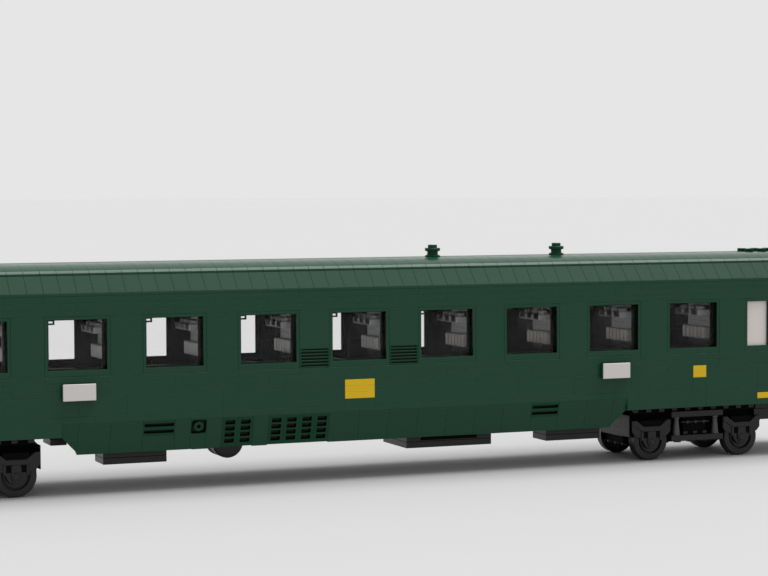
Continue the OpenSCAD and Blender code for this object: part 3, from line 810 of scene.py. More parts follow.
@dataclass
class SideWalls:
    """Both side walls, laid brick by brick round their windows and doorways."""

    finishes: Finishes
    half_len: float = 288.0
    face: float = 32.0
    back: float = 24.0
    low: float = 28.8
    skirt_half: float = 152.0
    skirt_z: float = 35.2
    ledge: float = 26.9
    sill: float = 57.6
    head: float = 86.4
    window_half: float = 16.0
    window_pitch: float = 48.0
    lavatory: tuple[float, float] = (224.0, 240.0)
    doorway: tuple[float, float] = (248.0, 280.0)
    door_sill: float = 32.0
    grille_starts: tuple[float, float] = (-32.0, 16.0)
    grille_top: float = 67.2
    low_course_top: float = 38.4
    plate_head: float = 51.2
    backing_len: float = 38.0

    def openings(self) -> np.ndarray:
        """Every opening of one wall.

        Returns:
            Rows of x0, x1, z0, z1: windows, lavatory windows, doorways and the places
            of the yellow plates.
        """
        rows = [(self.window_pitch * k - self.window_half, self.window_pitch * k + self.window_half,
                 self.sill, self.head) for k in range(-4, 5)]
        for s in (-1, 1):
            rows += [(*span(s, ends), z0, z1)
                     for ends, z0, z1 in ((self.lavatory, self.sill, self.head),
                                          (self.doorway, self.door_sill, self.head),
                                          (SMALL_PLATE, self.low_course_top, self.plate_head),
                                          (LONG_PLATE, self.low, self.low_course_top))]
        rows += [(a, a + 2 * STUD, self.sill, self.grille_top) for a in self.grille_starts]
        rows.append((-STUD, STUD, self.skirt_z, self.plate_head))
        return np.array(rows, float)

    def courses(self) -> list[Course]:
        """The courses, from the lowest up."""
        half = self.skirt_half
        return [
            Course(28.8, 38.4, (200.0,), half, self.half_len),
            Course(28.8, 38.4, (-200.0,), -self.half_len, -half),
            Course(35.2, 38.4, (-136, -8, 8, 136), -half, half),
            Course(38.4, 48.0, (-232, -200, -192, -144, -120, -72, -8, 8, 88, 120, 144, 192,
                                200, 232)),
            Course(48.0, 51.2, (-240, -176, -128, -64, -40, -8, 8, 40, 64, 128, 176, 240)),
            Course(51.2, 54.4, (-256, -208, -144, -96, -48, -8, 8, 48, 96, 144, 208, 256)),
            Course(54.4, 57.6, (-224, -160, -64, -32, 64, 160, 224)),
            Course(57.6, 67.2, (-216,)),
            Course(67.2, 86.4, ()),
            Course(86.4, 89.6, (-272, -192, -96, 0, 96, 192, 272)),
            Course(89.6, 92.8, (-240, -144, -48, 48, 144, 240)),
            Course(92.8, 96.0, (-256, -160, -32, 32, 160, 256)),
        ]

    def laid(self, course: Course) -> list[tuple]:
        """The bricks of one course.

        Args:
            course: The course.

        Returns:
            One row of x0, x1, y0, y1, z0, z1 for each brick, clear of every opening.
        """
        x0, x1, z0, z1 = self.openings().T
        across = (z0 < course.high) & (z1 > course.low)
        marks = np.concatenate([[course.start, course.end], course.seams, x0[across], x1[across]])
        marks = np.unique(np.clip(marks, course.start, course.end))
        middle = (marks[:-1] + marks[1:]) / 2
        inside = (middle[:, None] > x0) & (middle[:, None] < x1) & across
        keep = ~inside.any(1)
        return [(a, b, -self.face, -self.back, course.low, course.high)
                for (a, b), clear in zip(stretches(marks), keep) if clear]

    def extras(self) -> list[tuple]:
        """The small bricks round the yellow plates, under the doorways and behind the skirt."""
        y = (-self.face, -self.back)
        rows = [(-STUD, STUD, *y, self.skirt_z, MIDDLE_PLATE_LOW)]
        for x in np.arange(-self.skirt_half, self.skirt_half, self.backing_len):
            rows.append((x, x + self.backing_len, -self.ledge, -self.back, self.low,
                         self.skirt_z))
        for s in (-1, 1):
            rows += [(*span(s, ends), *y, z0, z1)
                     for ends, z0, z1 in ((SMALL_PLATE, self.low_course_top, SMALL_PLATE_LOW),
                                          (LONG_PLATE, self.low, LONG_PLATE_LOW),
                                          (LONG_PLATE, LONG_PLATE_LOW + PLATE, self.low_course_top),
                                          (self.doorway, self.low, self.door_sill))]
        return rows

    def build(self) -> None:
        """Builds both walls."""
        starts = self.window_pitch * (np.arange(-4, 4) + 0.5) - STUD
        tall = set(starts) - set(self.grille_starts)
        rows = []
        for course in self.courses():
            for row in self.laid(course):
                pillar = row[0] in tall and row[1] == row[0] + 2 * STUD
                if pillar and course.low == self.sill:
                    rows.append((*row[:5], self.head))
                elif not (pillar and course.low == self.grille_top):
                    rows.append(row)
        wall = bricks(rows + self.extras(), 0.08, 0.35, 3)
        # Painted shade: the bricks' inner faces fade to near black.
        wall = wall.shaded(PAINTED_SHADE, lambda at: at[:, 1] > -self.back - 0.01)
        pair("wall_bricks", wall, Finishes.GREEN, self.finishes, "wall")


@dataclass
class EndWalls:
    """The walls across both ends, with the way through and its bellows."""

    finishes: Finishes
    outer: float = 288.0
    inner: float = 280.0
    half: float = 24.0
    gap: float = 8.0
    low: float = 28.8
    sill: float = 32.0
    head: float = 86.4
    bellows_out: float = 294.0
    bellows_half: float = 12.0
    bellows_top: float = 90.4
    folds: int = 4

    def build(self) -> None:
        """Builds the bricks, the bellows and the end doors."""
        x = (self.inner, self.outer)
        rows = [(*x, -self.half, self.half, self.low, self.sill)]
        levels = [self.sill, 38.4, 48.0, 57.6, 67.2, 76.8, self.head]
        for z0, z1 in stretches(levels):
            rows += [(*x, -self.half, -self.gap, z0, z1), (*x, self.gap, self.half, z0, z1)]
        for k, z in enumerate(layers(self.head, 5)):
            seams = (-self.half, 0.0, self.half) if k % 2 else (-self.half, -8.0, 8.0, self.half)
            rows += [(*x, a, b, *z) for a, b in stretches(seams)]
        wall = bricks(rows, 0.13, 0.35, 5)
        pair("end_bricks", wall, Finishes.GREEN, self.finishes, "end_wall", Axis.X,
             ("right", "left"))
        piece("gangway_bellows", both(self.bellows(), Axis.X), Finishes.BLACK, self.finishes,
              replaces=("gangways",))
        piece("gangway_door_leaves", both(self.door(), Axis.X), Finishes.GREY, self.finishes,
              replaces=("gangway_doors",))

    def bellows(self) -> Surface:
        """The right-hand bellows: a folded profile carried round the way through.

        Returns:
            The ring. Its outline has a ridge and a valley for each fold, d = 0 on a
            ridge and d = 0.3 in a valley.
        """
        step = (self.bellows_out - self.outer) / self.folds
        x = self.outer + step * (np.arange(self.folds)[:, None] + [0.1, 0.5, 0.9])
        d = np.broadcast_to([0.3, 0.0, 0.3], x.shape)
        outside = list(zip(d.ravel(), x.ravel()))
        profile = [(0.3, self.outer)] + outside + [(0.4, self.bellows_out),
                                                   (0.9, self.bellows_out),
                                                   (1.0, self.bellows_out - 0.3),
                                                   (1.0, self.outer)]
        return mitred((-self.bellows_half, self.bellows_half, self.low, self.bellows_top),
                      (-self.gap, self.gap, self.sill, self.head), profile, Axis.X)

    def door(self) -> Surface:
        """The right-hand end door: a leaf with raised rails, panels and a pull."""
        x0, x1 = self.outer - 6.0, self.outer - 3.4
        leaf = bricks([(x0, x1, -self.gap, self.gap, self.sill, self.head)], 0.15)
        rails = mitred((-self.gap, self.gap, self.sill, self.head),
                       (-self.gap + 1.8, self.gap - 1.8, self.sill + 3, self.head - 2.4),
                       frame_profile(x1 + 0.4, x1 - 0.4, 0.1), Axis.X)
        bars = bricks([(x1 - 0.3, x1 + 0.4, -self.gap + 1.6, self.gap - 1.6, z, z + 1.6)
                       for z in (50.0, 68.0)], 0.12)
        pull = bricks([(x1 - 0.2, x1 + 0.4, 4.4, 5.4, 55, 61)], 0.15)
        return joined([leaf, rails, bars, pull])


@dataclass
class Windows:
    """The window frames with their clips, and the panes that stay from the CAD model."""

    finishes: Finishes
    face: float = 32.0
    deep: float = 6.0
    bar: float = 1.6
    sill_h: float = 3.2
    low: float = 57.6
    high: float = 86.4
    pitch: float = 48.0
    width: float = 32.0
    lavatory_at: float = 232.0
    lavatory_w: float = 16.0
    clip_w: float = 4.6
    clip_h: float = 2.5
    clip_bar: float = 0.8

    def frame(self, x: float, width: float) -> Surface:
        """One frame on the near side.

        Args:
            x: The frame's middle.
            width: The width over the frame.

        Returns:
            The mitred ring, its reveal and back faces painted near black as shade, with a thin bead
            in front of the pane, painted near black all over as shade.
        """
        outer = (x - width / 2 + 0.04, x + width / 2 - 0.04, self.low + 0.04, self.high - 0.04)
        inner = (x - width / 2 + self.bar, x + width / 2 - self.bar,
                 self.low + self.sill_h, self.high - self.bar)
        ring = mitred(outer, inner, frame_profile(-self.face, -self.face + self.deep), Axis.Y)
        # Painted shade: the faces behind the frame's front fade to near black.
        ring = ring.shaded(PAINTED_SHADE, lambda at: at[:, 1] > -self.face + 0.5)
        u0, u1, v0, v1 = inner
        bead = mitred((u0 - 0.1, u1 + 0.1, v0 - 0.1, v1 + 0.1),
                      (u0 + 1.5, u1 - 1.5, v0 + 0.7, v1 - 0.4),
                      frame_profile(-self.face + 4.5, -self.face + 5.1, 0.08), Axis.Y)
        # Painted shade: the whole bead fades to near black.
        bead = bead.with_tint(PAINTED_SHADE)
        return joined([ring, bead])

    def clip(self, x: float) -> Surface:
        """The small looped clip in a window's upper corner, on the near side.

        Args:
            x: The window's middle.

        Returns:
            The loop and its pin.
        """
        left = x - self.width / 2 + self.bar
        top = self.high - self.bar
        y0, y1 = -self.face + 5.2, -self.face + 6.2
        loop = mitred((left, left + self.clip_w, top - self.clip_h, top),
                      (left + self.clip_bar, left + self.clip_w - self.clip_bar,
                       top - self.clip_h + self.clip_bar, top - self.clip_bar),
                      frame_profile(y0, y1, 0.15, 0.2), Axis.Y)
        pin = bricks([(left - 0.2, left + 0.8, y0, y1, top - 9.0, top - self.clip_h + 0.2)], 0.15)
        return joined([loop, pin])

    def build(self) -> None:
        """Builds the frames and clips, and dresses the panes."""
        places = self.pitch * np.arange(-4, 5)
        rings = [self.frame(x, self.width) for x in places]
        rings += [self.frame(s * self.lavatory_at, self.lavatory_w) for s in (-1, 1)]
        piece("window_frame_rings", both(joined(rings), Axis.Y), Finishes.FRAME, self.finishes,
              replaces=("window_frames",))
        near = joined([self.clip(x) for x in places])
        piece("window_clips", both(near, Axis.Y), Finishes.BLACK, self.finishes)
        dress("window_panes", Finishes.CLEAR, self.finishes)
        dress("lavatory_windows", Finishes.FROSTED, self.finishes)


@dataclass
class PillarGrilles:
    """The ribbed bricks low on the pillars beside the middle window."""

    finishes: Finishes
    face: float = 32.0
    deep: float = 8.0
    low: float = 57.6
    height: float = 9.6
    ribs: int = 6
    rib_deep: float = 1.6

    def build(self) -> None:
        """Builds the four ribbed bricks: a toothed outline carried along X, with painted shade on
        the rib valleys and the faces behind them.
        """
        pitch = self.height / self.ribs
        rib = pitch * np.array([0.08, 0.5, 0.6, 0.98])
        z = self.low + pitch * np.arange(self.ribs)[:, None] + rib
        y = np.broadcast_to([-self.face, -self.face, -self.face + self.rib_deep,
                             -self.face + self.rib_deep], z.shape)
        teeth = np.column_stack([y.ravel(), z.ravel()])
        outline = np.concatenate([[(-self.face + self.rib_deep, self.low)], teeth,
                                  [(-self.face + self.rib_deep, self.low + self.height),
                                   (-self.face + self.deep, self.low + self.height),
                                   (-self.face + self.deep, self.low)]])
        parts = []
        for x in (-24.0, 24.0):
            ribbed = prism(outline, x - 7.2, x + 7.2, Axis.X, 0.06)
            # Painted shade: the rib valleys and the faces behind them fade to near black.
            parts.append(ribbed.shaded(PAINTED_SHADE, lambda at: at[:, 1] > -self.face + 0.4))
            parts.append(bricks([(x - 8, x - 7.2, -self.face, -self.face + self.deep, self.low,
                                  self.low + self.height),
                                 (x + 7.2, x + 8, -self.face, -self.face + self.deep, self.low,
                                  self.low + self.height)], 0.1))
        piece("pillar_grille_bricks", both(joined(parts), Axis.Y), Finishes.GRILLE_SHADED, self.finishes,
              replaces=("pillar_grilles",))


@dataclass
class Roof:
    """The slope bricks, the curved slopes, the flat ridge with its studs and the vents."""

    finishes: Finishes
    half_len: float = 288.0
    wall_top: float = 96.0
    lip: float = 1.5
    slope_top: float = 105.6
    deck: float = 102.4
    curve_base: float = 107.2
    crown: float = 110.8
    ridge: float = 8.0
    curve_run: float = 16.0
    curve_steps: int = 12
    studs: int = 6
    vents: tuple[float, ...] = (52.0, 124.0)
    vent_y: float = -4.0
    vent_r: float = 4.0

    def row(self, profile: list, seed: int, cut: float = 0.13) -> Surface:
        """One outline in Y and Z, as a row of pieces one stud wide.

        Args:
            profile: The outline's corners.
            seed: Where the tints' random draws start.
            cut: The width of the flats.

        Returns:
            The row along the whole roof.
        """
        starts = np.arange(-self.half_len, self.half_len - 0.1, STUD)
        draw = np.random.default_rng(seed).uniform(-0.35, 0.35, len(starts))
        one = prism(profile, 0.0, STUD, Axis.X, cut)
        return joined([one.moved(x).with_tint(t) for x, t in zip(starts, draw)])

    def slopes(self) -> Surface:
        """The near row of 45 degree slope bricks, with their lower lips."""
        return self.row([(-32, self.wall_top), (-32, self.wall_top + self.lip),
                         (-24, self.slope_top), (-16, self.slope_top), (-16, self.deck),
                         (-24, self.deck), (-24, self.wall_top)], 7)

    def lips(self) -> Surface:
        """The upright faces of the near slope bricks' lower lips, in the walls' finish."""
        low, high = self.wall_top + 0.06, self.wall_top + self.lip - 0.04
        return self.row([(-31.5, low), (-32.05, low), (-32.05, high), (-31.5, high)], 7, 0.04)

    def curves(self) -> Surface:
        """The near row of curved slopes.

        Returns:
            The row. Its top is an arc: y = -ridge - r sin a, z = crown - r + r cos a, with
            r = (run^2 + rise^2) / (2 rise).
        """
        rise = self.crown - self.curve_base
        radius = (self.curve_run ** 2 + rise ** 2) / (2 * rise)
        a = np.linspace(math.asin(self.curve_run / radius), 0, self.curve_steps + 1)
        arc = np.column_stack([-self.ridge - radius * np.sin(a),
                               self.crown - radius + radius * np.cos(a)])
        edge = -self.ridge - self.curve_run
        nose = [(edge, self.slope_top), (edge, self.slope_top + 0.9)]
        return self.row([(-self.ridge, self.slope_top), *nose, *arc[1:]], 9, 0.12)

    def ridge_tiles(self) -> Surface:
        """The flat tiles along the ridge, and the studded plates at both ends."""
        plain = self.half_len - self.studs * STUD
        marks = np.arange(-plain, plain + 1, 4 * STUD)
        rows = [(a, b, -self.ridge, self.ridge, self.slope_top, self.crown)
                for a, b in stretches(marks)]
        for s in (-1, 1):
            for k in range(0, self.studs, 2):
                rows.append((*span(s, (plain + k * STUD, plain + (k + 2) * STUD)), -self.ridge,
                             self.ridge, self.slope_top, self.crown))
        along = plain + STUD * (np.arange(self.studs) + 0.5)
        places = [(s * x, y, self.crown) for s in (-1, 1) for x in along for y in (-4.0, 4.0)]
        return joined([bricks(rows, 0.13, 0.35, 11), repeated(stud(), np.array(places))])

    def vent(self) -> Surface:
        """One roof vent: a flange, a narrow neck, a wide cap and a stud on top."""
        r, neck = self.vent_r, self.vent_r - 1.2
        return turned([(0, -0.1), (r - 0.15, -0.1), (r, 0.1), (r, 0.7), (r - 0.3, 0.95),
                       (neck, 1.3), (neck, 2.9), (r - 0.25, 3.15), (r, 3.35), (r, 4.5),
                       (r - 0.2, 4.7), (STUD_R, 4.7), (STUD_R, 6.15), (STUD_R - 0.25, 6.4),
                       (0, 6.4)], 36)

    def build(self) -> None:
        """Builds every part of the roof."""
        piece("roof_slope_lips", both(self.lips(), Axis.Y), Finishes.GREEN, self.finishes)
        pair("roof_slope_bricks", self.slopes(), Finishes.ROOF_SHADED, self.finishes, "roof_slope")
        pair("roof_curve_bricks", self.curves(), Finishes.CURVE_SHEEN, self.finishes, "roof_curve")
        piece("roof_ridge_tiles", self.ridge_tiles(), Finishes.ROOF_SHADED, self.finishes,
              replaces=("roof_ridge",))
        piece("roof_vent_caps", repeated(self.vent(), np.array(
            [(x, self.vent_y, self.crown) for x in self.vents])), Finishes.GRILLE_SHADED, self.finishes,
            replaces=("roof_vents",))
        dress("roof_deck", Finishes.GREEN, self.finishes)


@dataclass
class Skirt:
    """The leaning skirt panels with their slotted tiles, on both sides."""

    finishes: Finishes
    half: float = 152.0
    hinge_y: float = -32.0
    hinge_z: float = 35.2
    height: float = 16.0
    thick: float = 3.2
    lean: float = math.radians(15.5)
    end_drop: float = 6.4
    seams: tuple[float, ...] = (-152, -144, -128, -112, -96, -88, -80, -72, -56, -48, -16, 0, 16,
                                32, 48, 64, 80, 96, 112, 128, 144, 152)
    long_slots: tuple[float, ...] = (-104.0, 104.0)
    socket_x: float = -84.0
    columns: tuple[float, ...] = (-68.0, -60.0, -44.0, -36.0, -28.0, -20.0)
    tile_top: float = 0.7
    tile_t: float = 2.0
    bevel: float = 0.08
    corner: float = 144.0
    long_slot: tuple[float, float] = (7.5, 0.85)
    short_slot: tuple[float, float] = (2.5, 1.12)
    socket_hole: tuple[float, float] = (3.75, 3.45)

    def laid(self, part: Surface) -> Surface:
        """Skirt coordinates laid on the coach.

        Args:
            part: A surface in X, depth behind the face, and distance down the panel.

        Returns:
            The surface at y = hinge_y + depth cos(lean) + down sin(lean) and
            z = hinge_z + depth sin(lean) - down cos(lean).
        """
        x, deep, down = part.points.T
        c, s = math.cos(self.lean), math.sin(self.lean)
        points = np.stack([x, self.hinge_y + deep * c + down * s,
                           self.hinge_z + deep * s - down * c], 1)
        return Surface(points, [f[:, ::-1] for f in part.faces], part.tints)

    def panels(self) -> Surface:
        """The plain panels and the backs of the pierced ones."""
        rows = []
        for a, b in stretches(self.seams):
            middle = (a + b) / 2
            if abs(middle) > self.corner:
                continue
            tops = [t for t in self.long_slots if abs(middle - t) < STUD] + (
                [self.socket_x] if abs(middle - self.socket_x) < 4 else [])
            pierced = any(a < x < b for x in self.columns)
            if tops:
                rows.append((a, b, 0.0, self.thick, STUD, self.height))
                rows.append((a, b, self.tile_t, self.thick, self.tile_top, STUD))
                rows.append((a, b, 0.0, self.thick, 0.0, self.tile_top))
            elif pierced:
                rows.append((a, b, self.tile_t, self.thick, self.tile_top, self.height))
                rows.append((a, b, 0.0, self.thick, 0.0, self.tile_top))
            else:
                rows.append((a, b, 0.0, self.thick, 0.0, self.height))
        return bricks(rows, 0.12, 0.35, 13)

    def corner_panel(self, side: float) -> Surface:
        """The 8 mm end panel with its slanted lower edge, in skirt coordinates."""
        c = math.cos(self.lean)
        knee = self.end_drop / c
        outline = [(side * self.corner, 0.0), (side * self.half, 0.0), (side * self.half, knee),
                   (side * self.corner, knee + STUD / c)]
        return prism(outline, 0.0, self.thick, Axis.Y, 0.1)

    def pierced(self, x0: float, x1: float, d0: float, d1: float, hole: np.ndarray,
                deep: float = 1.4) -> Surface:
        """A block with one blind hole in its face, in skirt coordinates, with painted shade in the
        hole.

        Loops with the same number of points: the block's back edge, its front edge, the
        hole's rim and the hole's floor. The front edge's points lie where the rays from
        the hole's middle through the rim meet the block's sides.

        Args:
            x0: The block's first edge along X.
            x1: Its second edge along X.
            d0: Its upper edge, as a distance down the panel.
            d1: Its lower edge.
            hole: The hole's outline in X and distance down, going once round.
            deep: The hole's depth.

        Returns:
            The closed block.
        """
        mid = np.array([(x0 + x1) / 2, (d0 + d1) / 2])
        half = np.array([(x1 - x0) / 2, (d1 - d0) / 2])
        ray = hole - mid
        reach = np.min(half / np.maximum(np.abs(ray), 1e-6), axis=1, keepdims=True)
        edge = mid + ray * reach
        corners = mid + half * np.array([[1, 1], [-1, 1], [-1, -1], [1, -1]])
        near = np.linalg.norm(edge[:, None] - corners[None], axis=2).argmin(0)
        edge[near] = corners
        n = len(hole)
        front = mid + (edge - mid) * (1 - self.bevel / half)
        well = mid + (hole - mid) * 0.97
        loops = [(edge, self.tile_t), (edge, self.bevel), (front, 0.0), (hole, 0.0), (well, 0.15),
                 (well, deep)]
        points = np.concatenate([np.column_stack([l[:, 0], np.full(n, h), l[:, 1]])
                                 for l, h in loops])
        i = np.arange(n)
        j = (i + 1) % n
        sides = np.concatenate([np.stack([i, j, j + n, i + n], 1) + k * n
                                for k in range(len(loops) - 1)])
        p = points[sides]
        volume = (p[:, 0] * np.cross(p[:, 1] - p[:, 0], p[:, 3] - p[:, 0])).sum()
        way = -1 if volume > 0 else 1
        # Painted shade: the hole's walls below the rim and its floor fade to near black.
        dark = np.where(np.arange(len(sides)) >= 3 * n, PAINTED_HOLE_SHADE, 0.0)
        return Surface(points, [sides[:, ::way], i[::-way][None],
                                (i + (len(loops) - 1) * n)[::way][None]],
                       [dark, np.zeros(1), np.full(1, PAINTED_HOLE_SHADE)])

    @staticmethod
    def pill(x: float, down: float, half_w: float, half_h: float, steps: int = 6) -> np.ndarray:
        """A slot's outline with rounded corners.

        Args:
            x: The slot's middle along X.
            down: Its middle down the panel.
            half_w: Half its width.
            half_h: Half its height.
            steps: Points in each corner.

        Returns:
            The outline: four quarter turns of radius 0.3 of the half height.
        """
        r = half_h * 0.3
        a = np.linspace(0, math.pi / 2, steps)
        quarter = np.arange(4)[:, None] * math.pi / 2 + a
        cx = np.array([1, -1, -1, 1])[:, None] * (half_w - r)
        cy = np.array([1, 1, -1, -1])[:, None] * (half_h - r)
        return np.column_stack([(x + cx + r * np.cos(quarter)).ravel(),
                                (down + cy + r * np.sin(quarter)).ravel()])

    def slotted(self) -> Surface:
        """The pierced tiles: long slots, the ring socket and the short slots."""
        parts = []
        for x in self.long_slots:
            for top, middle, end in ((self.tile_top, 2.5, 4.2), (4.2, 5.9, STUD)):
                parts.append(self.pierced(x - STUD, x + STUD, top, end,
                                          self.pill(x, middle, *self.long_slot)))
        x, down = self.socket_x, 4.35
        parts.append(self.pierced(x - 4, x + 4, self.tile_top, STUD,
                                  self.pill(x, down, *self.socket_hole)))
        hub = turned([(0, -1.4), (0.95, -1.4), (0.95, 0.0), (1.25, 0.25), (2.2, 0.25),
                      (2.5, 0.0), (2.5, -1.5), (0, -1.5)], 24)
        flat = np.column_stack([hub.points[:, 0] + x, 0.1 - hub.points[:, 2],
                                hub.points[:, 1] + down])
        parts.append(Surface(flat, hub.faces))
        for x in self.columns:
            for k in range(4):
                top = self.tile_top if k == 0 else 1.3 + k * PLATE
                end = 1.3 + (k + 1) * PLATE if k < 3 else self.height - 0.4
                middle = 2.9 + k * PLATE
                parts.append(self.pierced(x - 4, x + 4, top, end,
                                          self.pill(x, middle, *self.short_slot)))
        return joined(parts)

    def build(self) -> None:
        """Builds the panels and tiles on both sides."""
        panels = joined([self.panels(), self.corner_panel(-1), self.corner_panel(1)])
        tiles = self.laid(self.slotted())
        pair("skirt_panels", self.laid(panels), Finishes.GREEN, self.finishes, "skirt")
        piece("skirt_slot_tiles", both(tiles, Axis.Y), Finishes.GRILLE_SHADED, self.finishes,
              replaces=("skirt_grilles",))


@dataclass
class Boards:
    """The destination boards and the yellow plates, all blank."""

    finishes: Finishes
    face: float = 32.0
    board_x: float = 144.0
    board_w: float = 16.0
    low: float = 46.4
    height: float = 8.0
    out: float = 3.2
    skin: float = 0.8

    def build(self) -> None:
        """Builds the boards, their white faces and the yellow plates."""
        w = self.board_w / 2
        y1, y0 = -self.face - self.out + self.skin, -self.face - self.out
        backs, faces = [], []
        for x in (-self.board_x, self.board_x):
            for a, b in ((x - w, x), (x, x + w)):
                backs.append((a, b, y1, -self.face, self.low, self.low + self.height))
            faces.append((x - w, x + w, y0, y1, self.low, self.low + self.height))
        studs = [(x + dx, y0 + 0.05, self.low + 4.0) for x in (-self.board_x, self.board_x)
                 for dx in (-4.0, 4.0)]
        mark = turned([(0, -0.06), (1.1, -0.06), (1.2, 0.0), (1.1, 0.04), (0, 0.04)],
                      20).turned_to(Axis.Y, -1.0)
        piece("board_backs", both(bricks(backs, 0.15), Axis.Y), Finishes.GREEN, self.finishes,
              replaces=("destination_boards",))
        white = joined([bricks(faces, 0.2), repeated(mark, np.array(studs))])
        piece("board_white_faces", both(white, Axis.Y), Finishes.WHITE, self.finishes,
              replaces=("board_faces",))
        y = (-self.face, -self.face + 2.0)
        rows = [(-STUD, STUD, *y, *z) for z in layers(MIDDLE_PLATE_LOW, 3)]
        for s in (-1, 1):
            rows += [(*span(s, SMALL_PLATE), *y, *z) for z in layers(SMALL_PLATE_LOW, 2)]
            rows += [(*span(s, LONG_PLATE), *y, *z) for z in layers(LONG_PLATE_LOW, 1)]
        piece("yellow_bricks", both(bricks(rows, 0.12, 0.3, 17), Axis.Y), Finishes.YELLOW,
              self.finishes, replaces=("yellow_plates",))


@dataclass
class Interior:
    """The partitions, benches and luggage racks that show through the windows."""

    finishes: Finishes
    pitch: float = 48.0
    half_t: float = 4.0
    wall: float = -24.0
    corridor: float = 8.0
    post: float = 8.0
    floor: float = 32.0
    panel: tuple[float, float] = (64.0, 80.0)
    back: tuple[float, float] = (64.0, 70.4)
    bench_deep: float = 12.0
    back_t: float = 3.6
    rack_deep: float = 8.0
    end_partition: float = 236.5

    def partition_places(self) -> list[float]:
        """Where the partitions stand along X: between the windows, and at both ends."""
        inner = self.pitch * (np.arange(10) - 4.5)
        return [*inner, -self.end_partition, self.end_partition]

    def partitions(self) -> Surface:
        """The black partitions' bricks, with their posts beside the grey panels."""
        z = [self.floor, 41.6, 51.2, 60.8, self.panel[0]]
        rows = []
        for x in self.partition_places():
            a, b = x - self.half_t, x + self.half_t
            rows += [(a, b, self.wall, self.corridor, lo, hi) for lo, hi in stretches(z)]
            rows += [(a, b, self.wall, self.wall + self.post, *self.panel)]
            rows += [(a, b, self.wall, self.corridor, *level)
                     for level in stretches([self.panel[1], 89.6, 96.0])]
        return bricks(rows, 0.14, 0.2, 19)

    def panels(self) -> Surface:
        """The grey panels, five plates to each."""
        rows = [(x - self.half_t, x + self.half_t, self.wall + self.post, self.corridor, *z)
                for x in self.partition_places() for z in layers(self.panel[0], 5)]
        return bricks(rows, 0.14, 0.2, 21)

    def for_benches(self, one: Surface) -> Surface:
        """A part made for a bench that faces +X from the origin, at every bench.

        Args:
            one: The part.

        Returns:
            The part against both faces of every compartment.
        """
        at = -self.pitch / 2 + self.half_t
        pair = both(one.moved(at), Axis.X)
        places = np.array([(self.pitch * k, 0.0, 0.0) for k in range(-4, 5)])
        return repeated(pair, places)

    def build(self) -> None:
        """Builds what stands inside the coach."""
        f = self.finishes
        piece("partition_bricks", self.partitions(), Finishes.BLACK, f, replaces=("partitions",))
        piece("partition_grey_bricks", self.panels(), Finishes.GREY, f,
              replaces=("partition_panels",))
        base = bricks([(0.0, self.bench_deep, self.wall, self.corridor, z, z + BRICK)
                       for z in (32.0, 41.6)]
                      + [(0.0, self.bench_deep, y, y + 8, 51.2, 57.6)
                         for y in (-24.0, -16.0, -8.0, 0.0)], 0.2)
        piece("bench_seats", self.for_benches(base), Finishes.BLACK, f, replaces=("bench_bases",))
        ribs = [(0.0, self.back_t, y + 0.25, y + 3.75, *self.back)
                for y in np.arange(self.wall + self.post, self.corridor, 4.0)]
        core = [(0.0, self.back_t - 0.7, self.wall + self.post, self.corridor,
                 self.back[0] + 0.1, self.back[1] - 0.1)]
        piece("bench_back_ribs", self.for_benches(bricks(ribs + core, 0.3)), Finishes.TAN, f,
              replaces=("bench_backs",))
        rack = bricks([(0.0, self.rack_deep, self.wall + self.post, self.corridor, 76.8, 80.0)],
                      0.3)
        rails = bricks([(self.rack_deep - 1.2, self.rack_deep, y, y + 6.6, 77.0, 80.0)
                        for y in (-15.3, -7.3, 0.7)], 0.3)
        pegs = repeated(stud(), np.array([(4.0, y, 80.0) for y in (-12.0, -4.0, 4.0)]))
        piece("luggage_rack_shelves", self.for_benches(joined([rack, rails, pegs])),
              Finishes.RACK, f, replaces=("luggage_racks",))
        dress("floor_pan", Finishes.UNDER, f)


